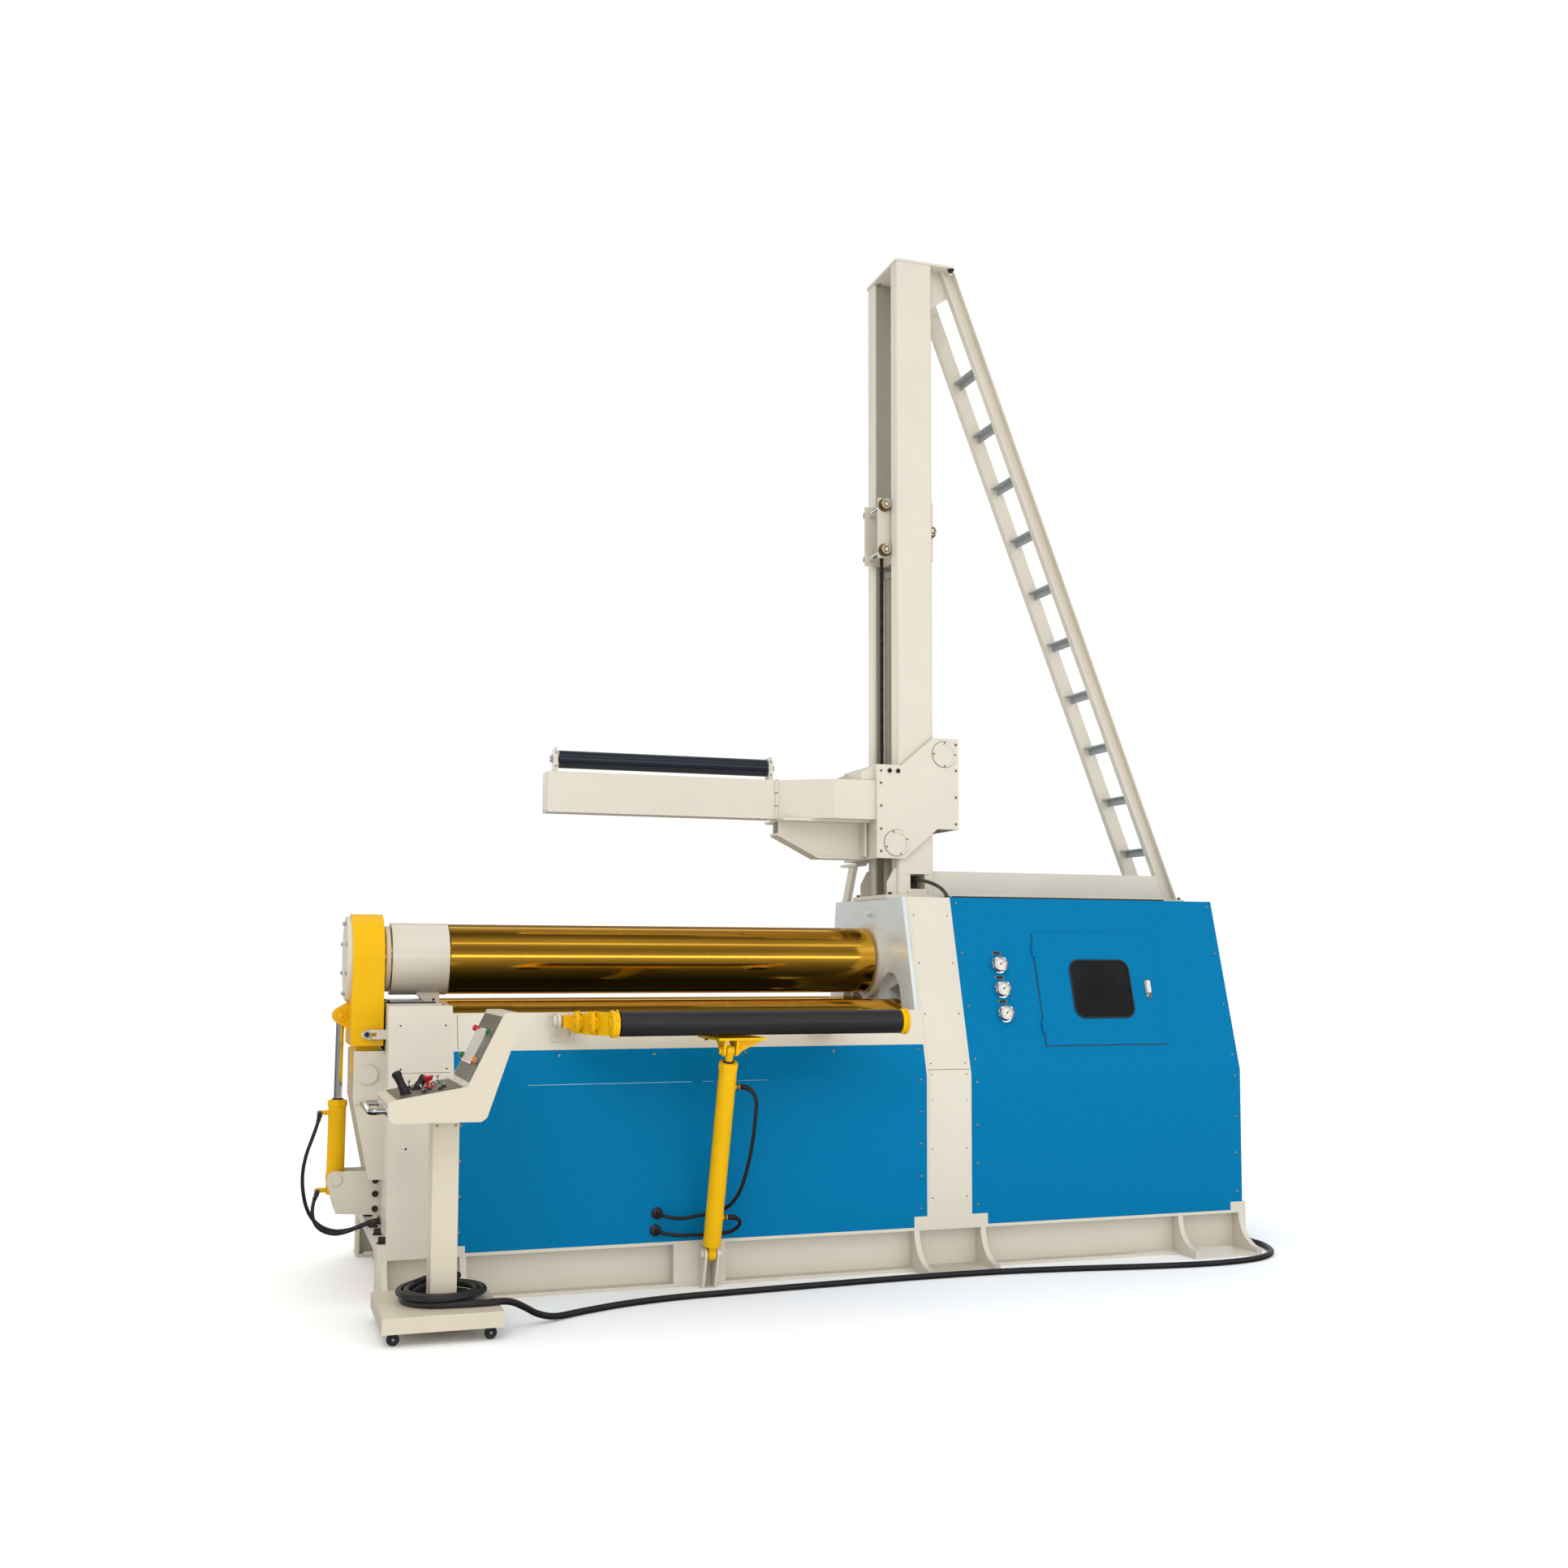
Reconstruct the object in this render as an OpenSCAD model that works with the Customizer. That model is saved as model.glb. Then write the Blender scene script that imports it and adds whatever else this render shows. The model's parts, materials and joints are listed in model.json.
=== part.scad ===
// Four-roll plate bending machine with a tilting drop end, a lateral support,
// an overhead support on a column, a hydraulic cabinet and a mobile console.
// Millimetres. X runs along the rolls towards the cabinet, Y runs away from the
// operator, Z is up. The origin is on the floor below the middle of the top roll.

/* [Rolls] */
// Length of the working face of the rolls
roll_len = 2100; // [1900:10:2300]
// Diameter of the top roll
top_roll_d = 324; // [280:2:330]
// Diameter of the two side rolls
side_roll_d = 240; // [200:2:250]
// Diameter of the bottom roll
bottom_roll_d = 260; // [220:2:266]
// Height of the top roll's axis above the floor
roll_axis_z = 1433; // [1428:1:1460]
// Open gap between the top roll and the lowered bottom roll
nip_gap = 41; // [40:1:50]
// Distance of each side roll's axis from the middle plane
side_roll_y = 280; // [276:1:290]
// Drop of the side rolls' axes below the top roll's axis
side_roll_drop = 307; // [300:1:315]
// Lean of the side rolls' slides from the vertical, in degrees
side_slide_lean = 15; // [10:1:16]
// Journal diameter of the lower rolls
journal_d = 110; // [90:2:120]
// Radial running clearance of the journals
run_fit = 0.1; // [0.02:0.02:0.1]
// Half height of a bearing block
block_half_h = 65; // [62:1:68]
// Half width of a bearing block
block_half_w = 85; // [80:1:90]
// Side clearance of a bearing block in its slot
block_clear = 6; // [5:1:8]
// Travel of the bottom roll
bottom_lift = 33; // [20:1:33]
// Travel of a side roll along its slide
side_lift = 120; // [60:5:120]

/* [Base] */
// Height of the base beams
base_h = 198; // [180:1:220]
// Distance of the base's outer faces from the middle plane
base_half_w = 640; // [620:5:660]
// Reach of the base beyond the left stand
base_left_over = 55; // [50:1:80]
// Reach of the base beyond the cabinet
base_right_over = 18; // [18:1:60]
// Width of the base beams' flanges
base_flange_w = 130; // [110:5:150]
// Thickness of the base beams' flanges
base_flange_t = 14; // [10:1:20]
// Thickness of the base beams' webs
base_web_t = 12; // [8:1:20]
// Distance from a beam's outer edge to its web
web_setback = 58; // [40:1:70]
// Thickness of the pads between the base and the stands
pad_t = 50; // [40:1:60]
// Reach of the feet beyond the base's outer face
foot_reach = 150; // [100:5:180]
// Thickness of the foot gussets
foot_gusset_t = 26; // [16:1:30]

/* [Stands and covers] */
// Height of the bend line in the front and rear covers
bend_z = 893; // [860:1:930]
// Height of the cabinet and of the right stand
hood_z = 1740; // [1700:5:1780]
// Distance of the hood's front top edge from the middle plane
hood_front_y = 405; // [390:1:420]
// Distance of the hood's rear top edge from the middle plane
hood_rear_y = 500; // [480:1:520]
// Height of the left stand's top
left_stand_z = 1232; // [1225:1:1240]
// Gap between the rolls' working face and the left stand
left_gap = 22; // [20:1:26]
// Thickness of the left stand along the rolls
left_stand_t = 248; // [240:1:260]
// Thickness of the right stand along the rolls
right_stand_t = 251; // [245:1:260]
// Length of the cabinet along the rolls
cabinet_len = 1486; // [1450:1:1486]
// Thickness of the sheet covers
skin_t = 4; // [3:1:6]
// Top edge of the long cover panels
panel_top_z = 1040; // [1000:1:1060]
// Top of the long beams above the panels
beam_top_z = 1200; // [1190:1:1210]
// Depth of the long beams
beam_depth = 54; // [40:1:60]
// Lap of the left cover's upper part over the long beam
cover_lap = 17; // [10:1:30]
// Lap of the long cover panels over the right stand
panel_lap = 22; // [10:1:30]

/* [Top roll support] */
// Outer diameter of the sleeve round the top roll's left neck
sleeve_d = 330; // [326:2:336]
// Distance of the sleeve's left end from the left stand's outer face
sleeve_set_in = 28; // [24:1:34]
// Length of the sleeve
sleeve_len = 254; // [240:1:256]
// Width of the neck below the sleeve
neck_w = 77; // [60:1:90]
// Diameter of the top roll's journal at the drop end
drop_journal_d = 200; // [160:5:210]
// Diameter of the shoulder beside the sleeve
shoulder_d = 268; // [240:2:280]
// Outer diameter of the ring at the top roll's right end
ring_d = 376; // [350:2:390]
// Gap between the ring and the end of the roll
ring_gap = 7; // [6:1:10]
// Thickness of the ring at the top roll's right end
ring_t = 31; // [24:1:36]

/* [Drop end] */
// Distance of the housing's left face from the left stand
housing_out = 148; // [144:1:152]
// Thickness of the housing along the rolls
housing_t = 138; // [130:1:140]
// Radius of the housing's arched top
housing_r = 203; // [195:1:210]
// Bottom of the housing
housing_z = 1048; // [1046:1:1060]
// Clear hole in the housing round the journal
housing_bore_d = 232; // [230:2:240]
// Thickness of the round cover on the housing
cover_t = 20; // [15:1:25]
// Diameter of the round cover
cover_d = 384; // [360:2:390]
// Distance of the drop end's pivot from the left stand
drop_pivot_out = 72; // [68:1:76]
// Pivot of the drop end, height
drop_pivot_z = 921; // [915:1:925]
// Diameter of the drop end's pivot pin
drop_pin_d = 70; // [50:2:76]
// Thickness of each hinge cheek
cheek_t = 28; // [20:1:30]
// Distance of the drop-end rod's eye from the left stand
drop_eye_out = 184; // [182:1:186]
// Eye of the drop-end rod, height
drop_eye_z = 1176; // [1170:1:1180]
// Distance of the drop-end cylinder's trunnion from the left stand
drop_trunnion_out = 192; // [190:1:194]
// Trunnion of the drop-end cylinder, height
drop_trunnion_z = 450; // [445:1:455]
// Outer diameter of the drop-end cylinder's barrel
drop_barrel_d = 78; // [70:1:84]
// Diameter of the drop-end cylinder's rod
drop_rod_d = 36; // [30:1:40]

/* [Lateral support] */
// Hinge of the lateral support: distance beyond the base's outer face
side_hinge_out = 28; // [24:1:32]
// Hinge of the lateral support: height
side_hinge_z = 1166; // [1160:1:1170]
// Distance of the front support roller's axis from the hinge
side_reach_y = 332; // [326:1:340]
// Diameter of the front support roller
side_roller_d = 104; // [96:2:110]
// Diameter of the two inner support rollers
inner_roller_d = 92; // [84:2:94]
// Distance between the axes of the two inner support rollers
inner_roller_pitch = 107; // [100:1:110]
// Left end of the support roller
side_roller_x = -446; // [-460:1:-430]
// Length of the support roller
side_roller_len = 1258; // [1200:1:1280]
// Middle of the lateral support's cylinder
side_cyl_x = 40; // [20:1:60]
// Outer diameter of the lateral support's barrel
side_barrel_d = 78; // [70:1:80]
// Diameter of the lateral support's rod
side_rod_d = 34; // [28:1:40]

/* [Column] */
// Distance of the column posts from the right stand's inner face
post_set_in = 65; // [60:1:70]
// Width of the column posts
post_w = 195; // [185:1:200]
// Distance of the posts' outer faces from the middle plane
post_y = 203; // [195:1:210]
// Depth of each post
post_d = 96; // [84:1:98]
// Top of the column
column_top_z = 5022; // [4900:10:5100]
// Thickness of the plate on the column
cap_t = 12; // [10:1:16]
// Length of the plate on the column
cap_len = 334; // [320:1:345]
// Thickness of the column's foot plate
foot_plate_t = 18; // [14:1:24]
// Wall thickness of the posts
post_wall = 10; // [8:1:12]
// Distance of the ladder rails' outer faces from the middle plane
ladder_half = 165; // [150:1:180]
// Width of the ladder rails, measured level
rail_w = 78; // [70:1:84]
// Depth of the ladder rails
rail_d = 40; // [34:1:46]
// Wall thickness of the ladder rails
rail_t = 7; // [5:1:9]

/* [Overhead support] */
// Clearance between the carriage and the posts
carriage_clear = 7; // [6:1:10]
// Thickness of the carriage plates
carriage_t = 16; // [12:1:20]
// Reach of the carriage to the left of the posts
carriage_left = 123; // [120:1:128]
// Reach of the carriage to the right of the posts
carriage_right = 128; // [120:1:132]
// Bottom of the carriage
carriage_z = 1938; // [1934:1:1944]
// Height of the carriage's left part
carriage_left_h = 467; // [450:1:480]
// Top of the carriage's right part
carriage_top_z = 2550; // [2530:1:2570]
// Radius of the guide rollers
guide_roller_r = 45; // [40:1:46]
// Bottom of the arm beams
arm_z = 2130; // [2120:1:2140]
// Height of the arm beams
arm_h = 194; // [180:1:200]
// Length of the overhead roller
over_roller_len = 1046; // [1000:2:1060]
// Width of the swing arm
arm_w = 120; // [100:2:130]
// Diameter of the overhead roller
over_roller_d = 85; // [76:1:90]
// Outer diameter of the hoist barrel
hoist_barrel_d = 150; // [100:1:152]
// Diameter of the hoist rod
hoist_rod_d = 40; // [36:1:44]

/* [Console] */
// Left edge of the console's base tray
tray_x = -1418; // [-1430:1:-1410]
// Front edge of the console's base tray
tray_y = -1385; // [-1400:1:-1370]
// Length of the tray
tray_len = 452; // [440:1:460]
// Depth of the tray
tray_w = 506; // [490:1:520]
// Height of the tray's top
tray_top_z = 110; // [106:1:120]
// Depth of the tray's folded edge
tray_h = 60; // [50:1:60]
// Depth of the console head
head_w = 480; // [460:1:490]
// Diameter of the console's cable
cable_d = 28; // [24:1:30]

/* [Hidden] */
$fn = 64;

beige = "#e2dac8";
blue = "#006fa8";
yellow = "#f0b010";
steel = "#b8bcc0";
gold = "#a8862a";
black = "#202124";

side_roll_z = roll_axis_z - side_roll_drop;
bottom_roll_z = roll_axis_z - top_roll_d / 2 - nip_gap - bottom_roll_d / 2;
roll_half = roll_len / 2;
stand_z = base_h + pad_t;
left_inner_x = -roll_half - left_gap;
left_stand_x = left_inner_x - left_stand_t;
right_inner_x = roll_half + ring_gap + ring_t;
cabinet_x = right_inner_x + right_stand_t;
cabinet_end_x = cabinet_x + cabinet_len;
base_left_x = left_stand_x - base_left_over;
base_right_x = cabinet_end_x + base_right_over;
panel_right_x = right_inner_x + panel_lap;
// Gap left between plates that are bolted face to face on a slope
seat_gap = 0.1;

// Distance of the front covers' outer face from the middle plane at height z
function front_y(z) = z <= bend_z ? base_half_w
    : base_half_w - (z - bend_z) * (base_half_w - hood_front_y) / (hood_z - bend_z);
// The same for the rear covers
function rear_y(z) = z <= bend_z ? base_half_w
    : base_half_w - (z - bend_z) * (base_half_w - hood_rear_y) / (hood_z - bend_z);

// A block from corner a to corner b
module block(a, b) {
    translate(a) cube([b[0] - a[0], b[1] - a[1], b[2] - a[2]]);
}
// An outline in the YZ plane drawn out along X from x0 to x1
module along_x(x0, x1) {
    translate([x0, 0, 0]) rotate([90, 0, 90]) linear_extrude(x1 - x0) children();
}
// An outline in the XZ plane drawn out along Y from y0 to y1
module along_y(y0, y1) {
    translate([0, y1, 0]) rotate([90, 0, 0]) linear_extrude(y1 - y0) children();
}
// A round bar along X, Y or Z
module bar_x(x0, x1, y, z, d) {
    translate([x0, y, z]) rotate([0, 90, 0]) cylinder(h = x1 - x0, d = d);
}
module bar_y(y0, y1, x, z, d) {
    translate([x, y0, z]) rotate([-90, 0, 0]) cylinder(h = y1 - y0, d = d);
}
module bar_z(z0, z1, x, y, d) {
    translate([x, y, z0]) cylinder(h = z1 - z0, d = d);
}

// ---- Base ----

beam_inner_y = base_half_w - base_flange_w;
foot_spans = [[base_left_x, left_inner_x + 62], [right_inner_x - 43, cabinet_x + 71],
              [base_right_x - 388, base_right_x]];
clevis_plate = [side_cyl_x - 147, side_cyl_x + 91];
cross_spans = [[left_stand_x + 20, left_inner_x - 78], clevis_plate, [right_inner_x + 32, cabinet_x - 9],
               [cabinet_end_x - 265, cabinet_end_x - 65]];

module base_beam() {
    web_y = -base_half_w + web_setback;
    block([base_left_x, -base_half_w, 0], [base_right_x, -beam_inner_y, base_flange_t]);
    block([base_left_x, -base_half_w, base_h - base_flange_t], [base_right_x, -beam_inner_y, base_h]);
    block([base_left_x, web_y, 0], [base_right_x, web_y + base_web_t, base_h]);
    for (x = [base_left_x, base_right_x - base_flange_t])
        block([x, -base_half_w, 0], [x + base_flange_t, -beam_inner_y, base_h]);
}

module base_beams() {
    color(beige) {
        base_beam();
        block([clevis_plate[0], -base_half_w, 0], [clevis_plate[1], -beam_inner_y, base_h]);
        mirror([0, 1, 0]) base_beam();
    }
}

module base_cross_beams() {
    color(beige) for (span = cross_spans)
        block([span[0], -beam_inner_y, 0], [span[1], beam_inner_y, base_h]);
}

// One foot: a sole plate outside the beam with two gussets that sweep out to it
module foot(span) {
    web_y = -base_half_w + web_setback;
    tip_y = -base_half_w - foot_reach;
    block([span[0], tip_y, 0], [span[1], -base_half_w, base_flange_t]);
    for (x = [span[0], span[1] - foot_gusset_t]) along_x(x, x + foot_gusset_t) difference() {
        polygon([[web_y, base_flange_t], [web_y, base_h - base_flange_t],
                 [tip_y, base_h - base_flange_t], [tip_y, base_flange_t]]);
        translate([tip_y, base_h - base_flange_t]) circle(r = foot_reach);
    }
}

module base_feet() {
    inner = [[foot_spans[0][0] + base_flange_t, foot_spans[0][1]], foot_spans[1],
             [foot_spans[2][0], foot_spans[2][1] - base_flange_t]];
    color(beige) for (side = [0, 1]) mirror([0, side, 0]) for (span = inner) foot(span);
}

pad_spans = [[base_left_x, left_inner_x + 14], [right_inner_x - 43, cabinet_x + 82]];
left_step_x = left_inner_x + 56;
left_step_h = 30;
corner_pad = [cabinet_end_x - 68, 40, 90];

module stand_pads() {
    color(beige) {
        block([pad_spans[0][0], -base_half_w, base_h], [pad_spans[0][1], base_half_w, stand_z]);
        for (y = [-base_half_w, beam_inner_y])
            block([pad_spans[0][1], y, base_h], [left_step_x, y + base_flange_w, base_h + left_step_h]);
        block([pad_spans[1][0], -base_half_w, base_h], [pad_spans[1][1], base_half_w, stand_z]);
        for (y = [-base_half_w, base_half_w - corner_pad[2]])
            block([corner_pad[0], y, base_h], [base_right_x, y + corner_pad[2], base_h + corner_pad[1]]);
    }
}

// ---- Stands and covers ----

// Cross-section of the covers between heights z0 and z1, drawn in by inset
module hood_section(z0, z1, inset = 0) {
    bends = [for (z = [z0, bend_z, z1]) if (z >= z0 && z <= z1) z];
    polygon(concat([for (z = bends) [inset - front_y(z), z]],
                   [for (i = [len(bends) - 1:-1:0]) [rear_y(bends[i]) - inset, bends[i]]]));
}

// Sheet cover on the front (side 0) or rear (side 1)
module skin(side, x0, x1, z0, z1, depth = skin_t, set_in = 0) {
    bends = [for (z = [z0, bend_z, z1]) if ((z > z0 && z < z1) || z == z0 || z == z1) z];
    points = [for (z = bends) [side == 0 ? set_in - front_y(z) : rear_y(z) - set_in, z]];
    back = side == 0 ? depth : -depth;
    along_x(x0, x1) polygon(concat(points,
        [for (i = [len(points) - 1:-1:0]) [points[i][0] + back, points[i][1]]]));
}

// Slot for the bottom roll's bearing block
module bottom_slot(x0, x1) {
    half = block_half_w + block_clear;
    block([x0, -half, bottom_roll_z - block_half_h - run_fit],
          [x1, half, bottom_roll_z + block_half_h + bottom_lift + block_clear]);
}

// Slot for a side roll's bearing block, up to height rise above the roll's axis
module side_slot(side, x0, x1, rise) {
    half = block_half_w + block_clear;
    mirror([0, side, 0]) translate([0, -side_roll_y, side_roll_z]) rotate([-side_slide_lean, 0, 0])
        block([x0, -half, -block_half_h - run_fit], [x1, half, rise]);
}

left_slot_x = left_inner_x - 190;
right_slot_x = right_inner_x + 174;

module left_stand() {
    open_rise = left_stand_z;
    color(beige) difference() {
        along_x(left_stand_x, left_inner_x) hood_section(stand_z, left_stand_z, skin_t + seat_gap);
        bottom_slot(left_slot_x, left_inner_x + 1);
        for (side = [0, 1]) side_slot(side, left_slot_x, left_inner_x + 1, open_rise);
    }
}

pocket_depth = 37;
pocket_r = side_roll_d / 2 + 12;
lifting_lug = [46, 26, 64];

module right_stand() {
    closed_rise = side_lift + block_half_h + block_clear;
    color(beige) bar_x(right_inner_x - lifting_lug[1], right_inner_x, 0, hood_z - lifting_lug[2],
                       lifting_lug[0]);
    color(beige) difference() {
        along_x(right_inner_x, cabinet_x) hood_section(stand_z, hood_z, skin_t + seat_gap);
        bottom_slot(right_inner_x - 1, right_slot_x);
        for (side = [0, 1]) {
            side_slot(side, right_inner_x - 1, right_slot_x, closed_rise);
            mirror([0, side, 0]) translate([0, -side_roll_y, side_roll_z])
                rotate([-side_slide_lean, 0, 0]) {
                    bar_x(right_inner_x - 1, right_inner_x + pocket_depth, 0, 0, 2 * pocket_r);
                    bar_x(right_inner_x - 1, right_inner_x + pocket_depth, 0, side_lift, 2 * pocket_r);
                    block([right_inner_x - 1, -pocket_r, 0],
                          [right_inner_x + pocket_depth, pocket_r, side_lift]);
                }
        }
        bar_x(right_inner_x - 1, right_journal_end + 10, 0, roll_axis_z, right_journal_d + 2 * run_fit);
    }
}

cover_left_x = left_stand_x - 22;
cover_right_x = left_inner_x + cover_lap;

module stand_covers() {
    color(beige) for (side = [0, 1]) {
        skin(side, cover_left_x, left_inner_x, stand_z, panel_top_z);
        skin(side, cover_left_x, cover_right_x, panel_top_z, beam_top_z);
        skin(side, cover_left_x, left_inner_x, beam_top_z, left_stand_z);
        skin(side, panel_right_x, cabinet_x, stand_z, hood_z);
    }
}

module cover_panel(side) {
    difference() {
        skin(side, left_inner_x, panel_right_x, base_h, panel_top_z);
        mirror([0, side, 0]) {
            block([left_inner_x - 1, -base_half_w - 1, base_h - 1],
                  [pad_spans[0][1], -base_half_w + skin_t + 1, stand_z]);
            block([left_inner_x - 1, -base_half_w - 1, base_h - 1],
                  [left_step_x, -base_half_w + skin_t + 1, base_h + left_step_h]);
            block([pad_spans[1][0], -base_half_w - 1, base_h - 1],
                  [panel_right_x + 1, -base_half_w + skin_t + 1, stand_z]);
        }
    }
}

module front_panel() { color(blue) cover_panel(0); }
module rear_panel() { color(blue) cover_panel(1); }

module top_beam(side) {
    skin(side, cover_right_x, panel_right_x, panel_top_z, beam_top_z);
    skin(side, left_inner_x, right_inner_x, panel_top_z, beam_top_z, beam_depth - skin_t, skin_t);
}

module top_beams() { color(beige) for (side = [0, 1]) top_beam(side); }

// ---- Cabinet ----

door_x = cabinet_x + 418;
door_z = 1024;
door_w = 675;
door_h = 562;
door_t = 6;
door_rim = 22;
door_seat = 0.3;
door_hinge_r = 6;
window_x = 179;
window_z = 130;
window_w = 337;
window_h = 298;
window_r = 55;
gasket_w = 9;
cover_lean = atan((base_half_w - hood_front_y) / (hood_z - bend_z));
// Floor and ceiling of the recess behind the door, and its back wall
recess_z = [door_z + door_rim * cos(cover_lean), door_z + (door_h - door_rim) * cos(cover_lean)];
recess_back_y = hood_front_y - 165;

// A place on the sloping front: local Z runs up the slope, local -Y faces out
module on_slope(x, z) {
    translate([x, -front_y(z), z]) rotate([-cover_lean, 0, 0]) children();
}

module rounded_rect(x, z, w, h, r) {
    for (i = [0, 1]) for (j = [0, 1])
        translate([x + r + i * (w - 2 * r), z + r + j * (h - 2 * r)]) circle(r = r);
    translate([x + r, z]) square([w - 2 * r, h]);
    translate([x, z + r]) square([w, h - 2 * r]);
}

module cabinet_shell() {
    color(blue) difference() {
        along_x(cabinet_x, cabinet_end_x) hood_section(base_h, hood_z);
        block([cabinet_x - 1, -base_half_w - 1, base_h - 1], [pad_spans[1][1], base_half_w + 1, stand_z]);
        for (y = [-base_half_w - 1, base_half_w - corner_pad[2]])
            block([corner_pad[0], y, base_h - 1],
                  [cabinet_end_x + 1, y + corner_pad[2] + 1, base_h + corner_pad[1]]);
        block([door_x + door_rim, -base_half_w, recess_z[0]],
              [door_x + door_w - door_rim, -recess_back_y, recess_z[1]]);
    }
}

module cabinet_door() {
    color(blue) on_slope(door_x, door_z) {
        along_y(-door_seat - door_t, -door_seat) difference() {
            square([door_w, door_h]);
            rounded_rect(window_x, window_z, window_w, window_h, window_r);
        }
        for (z = [60, door_h - 120]) {
            bar_z(z, z + 60, -door_hinge_r, -door_seat - door_hinge_r, 2 * door_hinge_r);
            block([-door_hinge_r, -door_seat - door_t - 2, z], [20, -door_seat - door_t, z + 60]);
        }
    }
}

module door_window() {
    color(black) on_slope(door_x, door_z) {
        along_y(-door_seat - door_t - 4, -door_seat) difference() {
            rounded_rect(window_x, window_z, window_w, window_h, window_r);
            rounded_rect(window_x + gasket_w, window_z + gasket_w,
                         window_w - 2 * gasket_w, window_h - 2 * gasket_w, window_r - gasket_w);
        }
        along_y(-door_seat - door_t + 1, -door_seat - 1)
            rounded_rect(window_x + gasket_w, window_z + gasket_w,
                         window_w - 2 * gasket_w, window_h - 2 * gasket_w, window_r - gasket_w);
    }
}

gauge_x = cabinet_x + 220;
gauge_heights = [1411, 1293, 1177];
gauge_d = 78;
gauge_t = 34;

module pressure_gauges() {
    color(steel) for (z = gauge_heights) on_slope(gauge_x, z) bar_y(-gauge_t, 0, 0, 0, gauge_d);
}

// ---- Rolls ----

right_journal_d = 220;
right_journal_end = right_inner_x + 212;
neck_d = 240;
end_gap = 6;
lower_roll_left = left_inner_x + 8;
side_roll_right = right_inner_x + 22;
bottom_roll_right = roll_half + 2;
journal_left = left_inner_x - 174;
journal_right = right_inner_x + 158;
sleeve_left_x = left_stand_x + sleeve_set_in;
sleeve_right_x = sleeve_left_x + sleeve_len;
housing_x = left_stand_x - housing_out;
housing_right_x = housing_x + housing_t;

module top_roll() {
    color(gold) {
        bar_x(sleeve_right_x + end_gap, roll_half, 0, roll_axis_z, top_roll_d);
        bar_x(sleeve_left_x - end_gap, sleeve_right_x + end_gap, 0, roll_axis_z, neck_d);
        bar_x(housing_right_x + 8, sleeve_left_x - end_gap, 0, roll_axis_z, shoulder_d);
        bar_x(housing_x + 36, housing_right_x + 8, 0, roll_axis_z, drop_journal_d);
        bar_x(roll_half, right_journal_end, 0, roll_axis_z, right_journal_d);
    }
}

neck_half_y = 62;
neck_flare = 26;

module top_roll_sleeve() {
    neck_x = left_inner_x - neck_w;
    under_z = roll_axis_z - sleeve_d / 2;
    color(beige) difference() {
        union() {
            bar_x(sleeve_left_x, sleeve_right_x, 0, roll_axis_z, sleeve_d);
            along_y(-neck_half_y, neck_half_y) difference() {
                polygon([[neck_x - neck_flare, roll_axis_z], [neck_x - neck_flare, under_z],
                         [neck_x, under_z - neck_flare], [neck_x, left_stand_z],
                         [left_inner_x, left_stand_z], [left_inner_x, roll_axis_z]]);
                translate([neck_x - neck_flare, under_z - neck_flare]) circle(r = neck_flare);
            }
        }
        bar_x(sleeve_left_x - 1, sleeve_right_x + 1, 0, roll_axis_z, neck_d + 2 * run_fit);
    }
}

module top_roll_ring() {
    color(beige) difference() {
        bar_x(roll_half + ring_gap, right_inner_x, 0, roll_axis_z, ring_d);
        bar_x(roll_half, right_inner_x + 1, 0, roll_axis_z, right_journal_d + 2 * run_fit);
    }
}

module lower_roll(y, z, d, x1) {
    bar_x(lower_roll_left, x1, y, z, d);
    bar_x(journal_left, journal_right, y, z, journal_d);
}

module bearing_block(x0, x1, y, z, lean) {
    translate([0, y, z]) rotate([lean, 0, 0]) difference() {
        block([x0, -block_half_w, -block_half_h], [x1, block_half_w, block_half_h]);
        bar_x(x0 - 1, x1 + 1, 0, 0, journal_d + 2 * run_fit);
    }
}

block_left = [left_inner_x - 178, left_inner_x - 24];
block_right_end = right_inner_x + 162;
block_right_bottom = [right_inner_x + 12, block_right_end];
block_right_side = [right_inner_x + pocket_depth + 5, block_right_end];

module bottom_roll() { color(gold) lower_roll(0, bottom_roll_z, bottom_roll_d, bottom_roll_right); }
module bottom_bearings() {
    color(steel) for (span = [block_left, block_right_bottom])
        bearing_block(span[0], span[1], 0, bottom_roll_z, 0);
}
module front_side_roll() { color(gold) lower_roll(-side_roll_y, side_roll_z, side_roll_d, side_roll_right); }
module front_side_bearings() {
    color(steel) for (span = [block_left, block_right_side])
        bearing_block(span[0], span[1], -side_roll_y, side_roll_z, -side_slide_lean);
}
module rear_side_roll() { color(gold) lower_roll(side_roll_y, side_roll_z, side_roll_d, side_roll_right); }
module rear_side_bearings() {
    color(steel) for (span = [block_left, block_right_side])
        bearing_block(span[0], span[1], side_roll_y, side_roll_z, side_slide_lean);
}

// ---- Drop end ----

drop_pivot_x = left_stand_x - drop_pivot_out;
drop_eye_x = left_stand_x - drop_eye_out;
drop_trunnion_x = left_stand_x - drop_trunnion_out;
lug_r = 55;
ear_t = 16;
ear_gap = 20;
eye_r = 24;
boss_r = 36;
cheek_y = 175;

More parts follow.
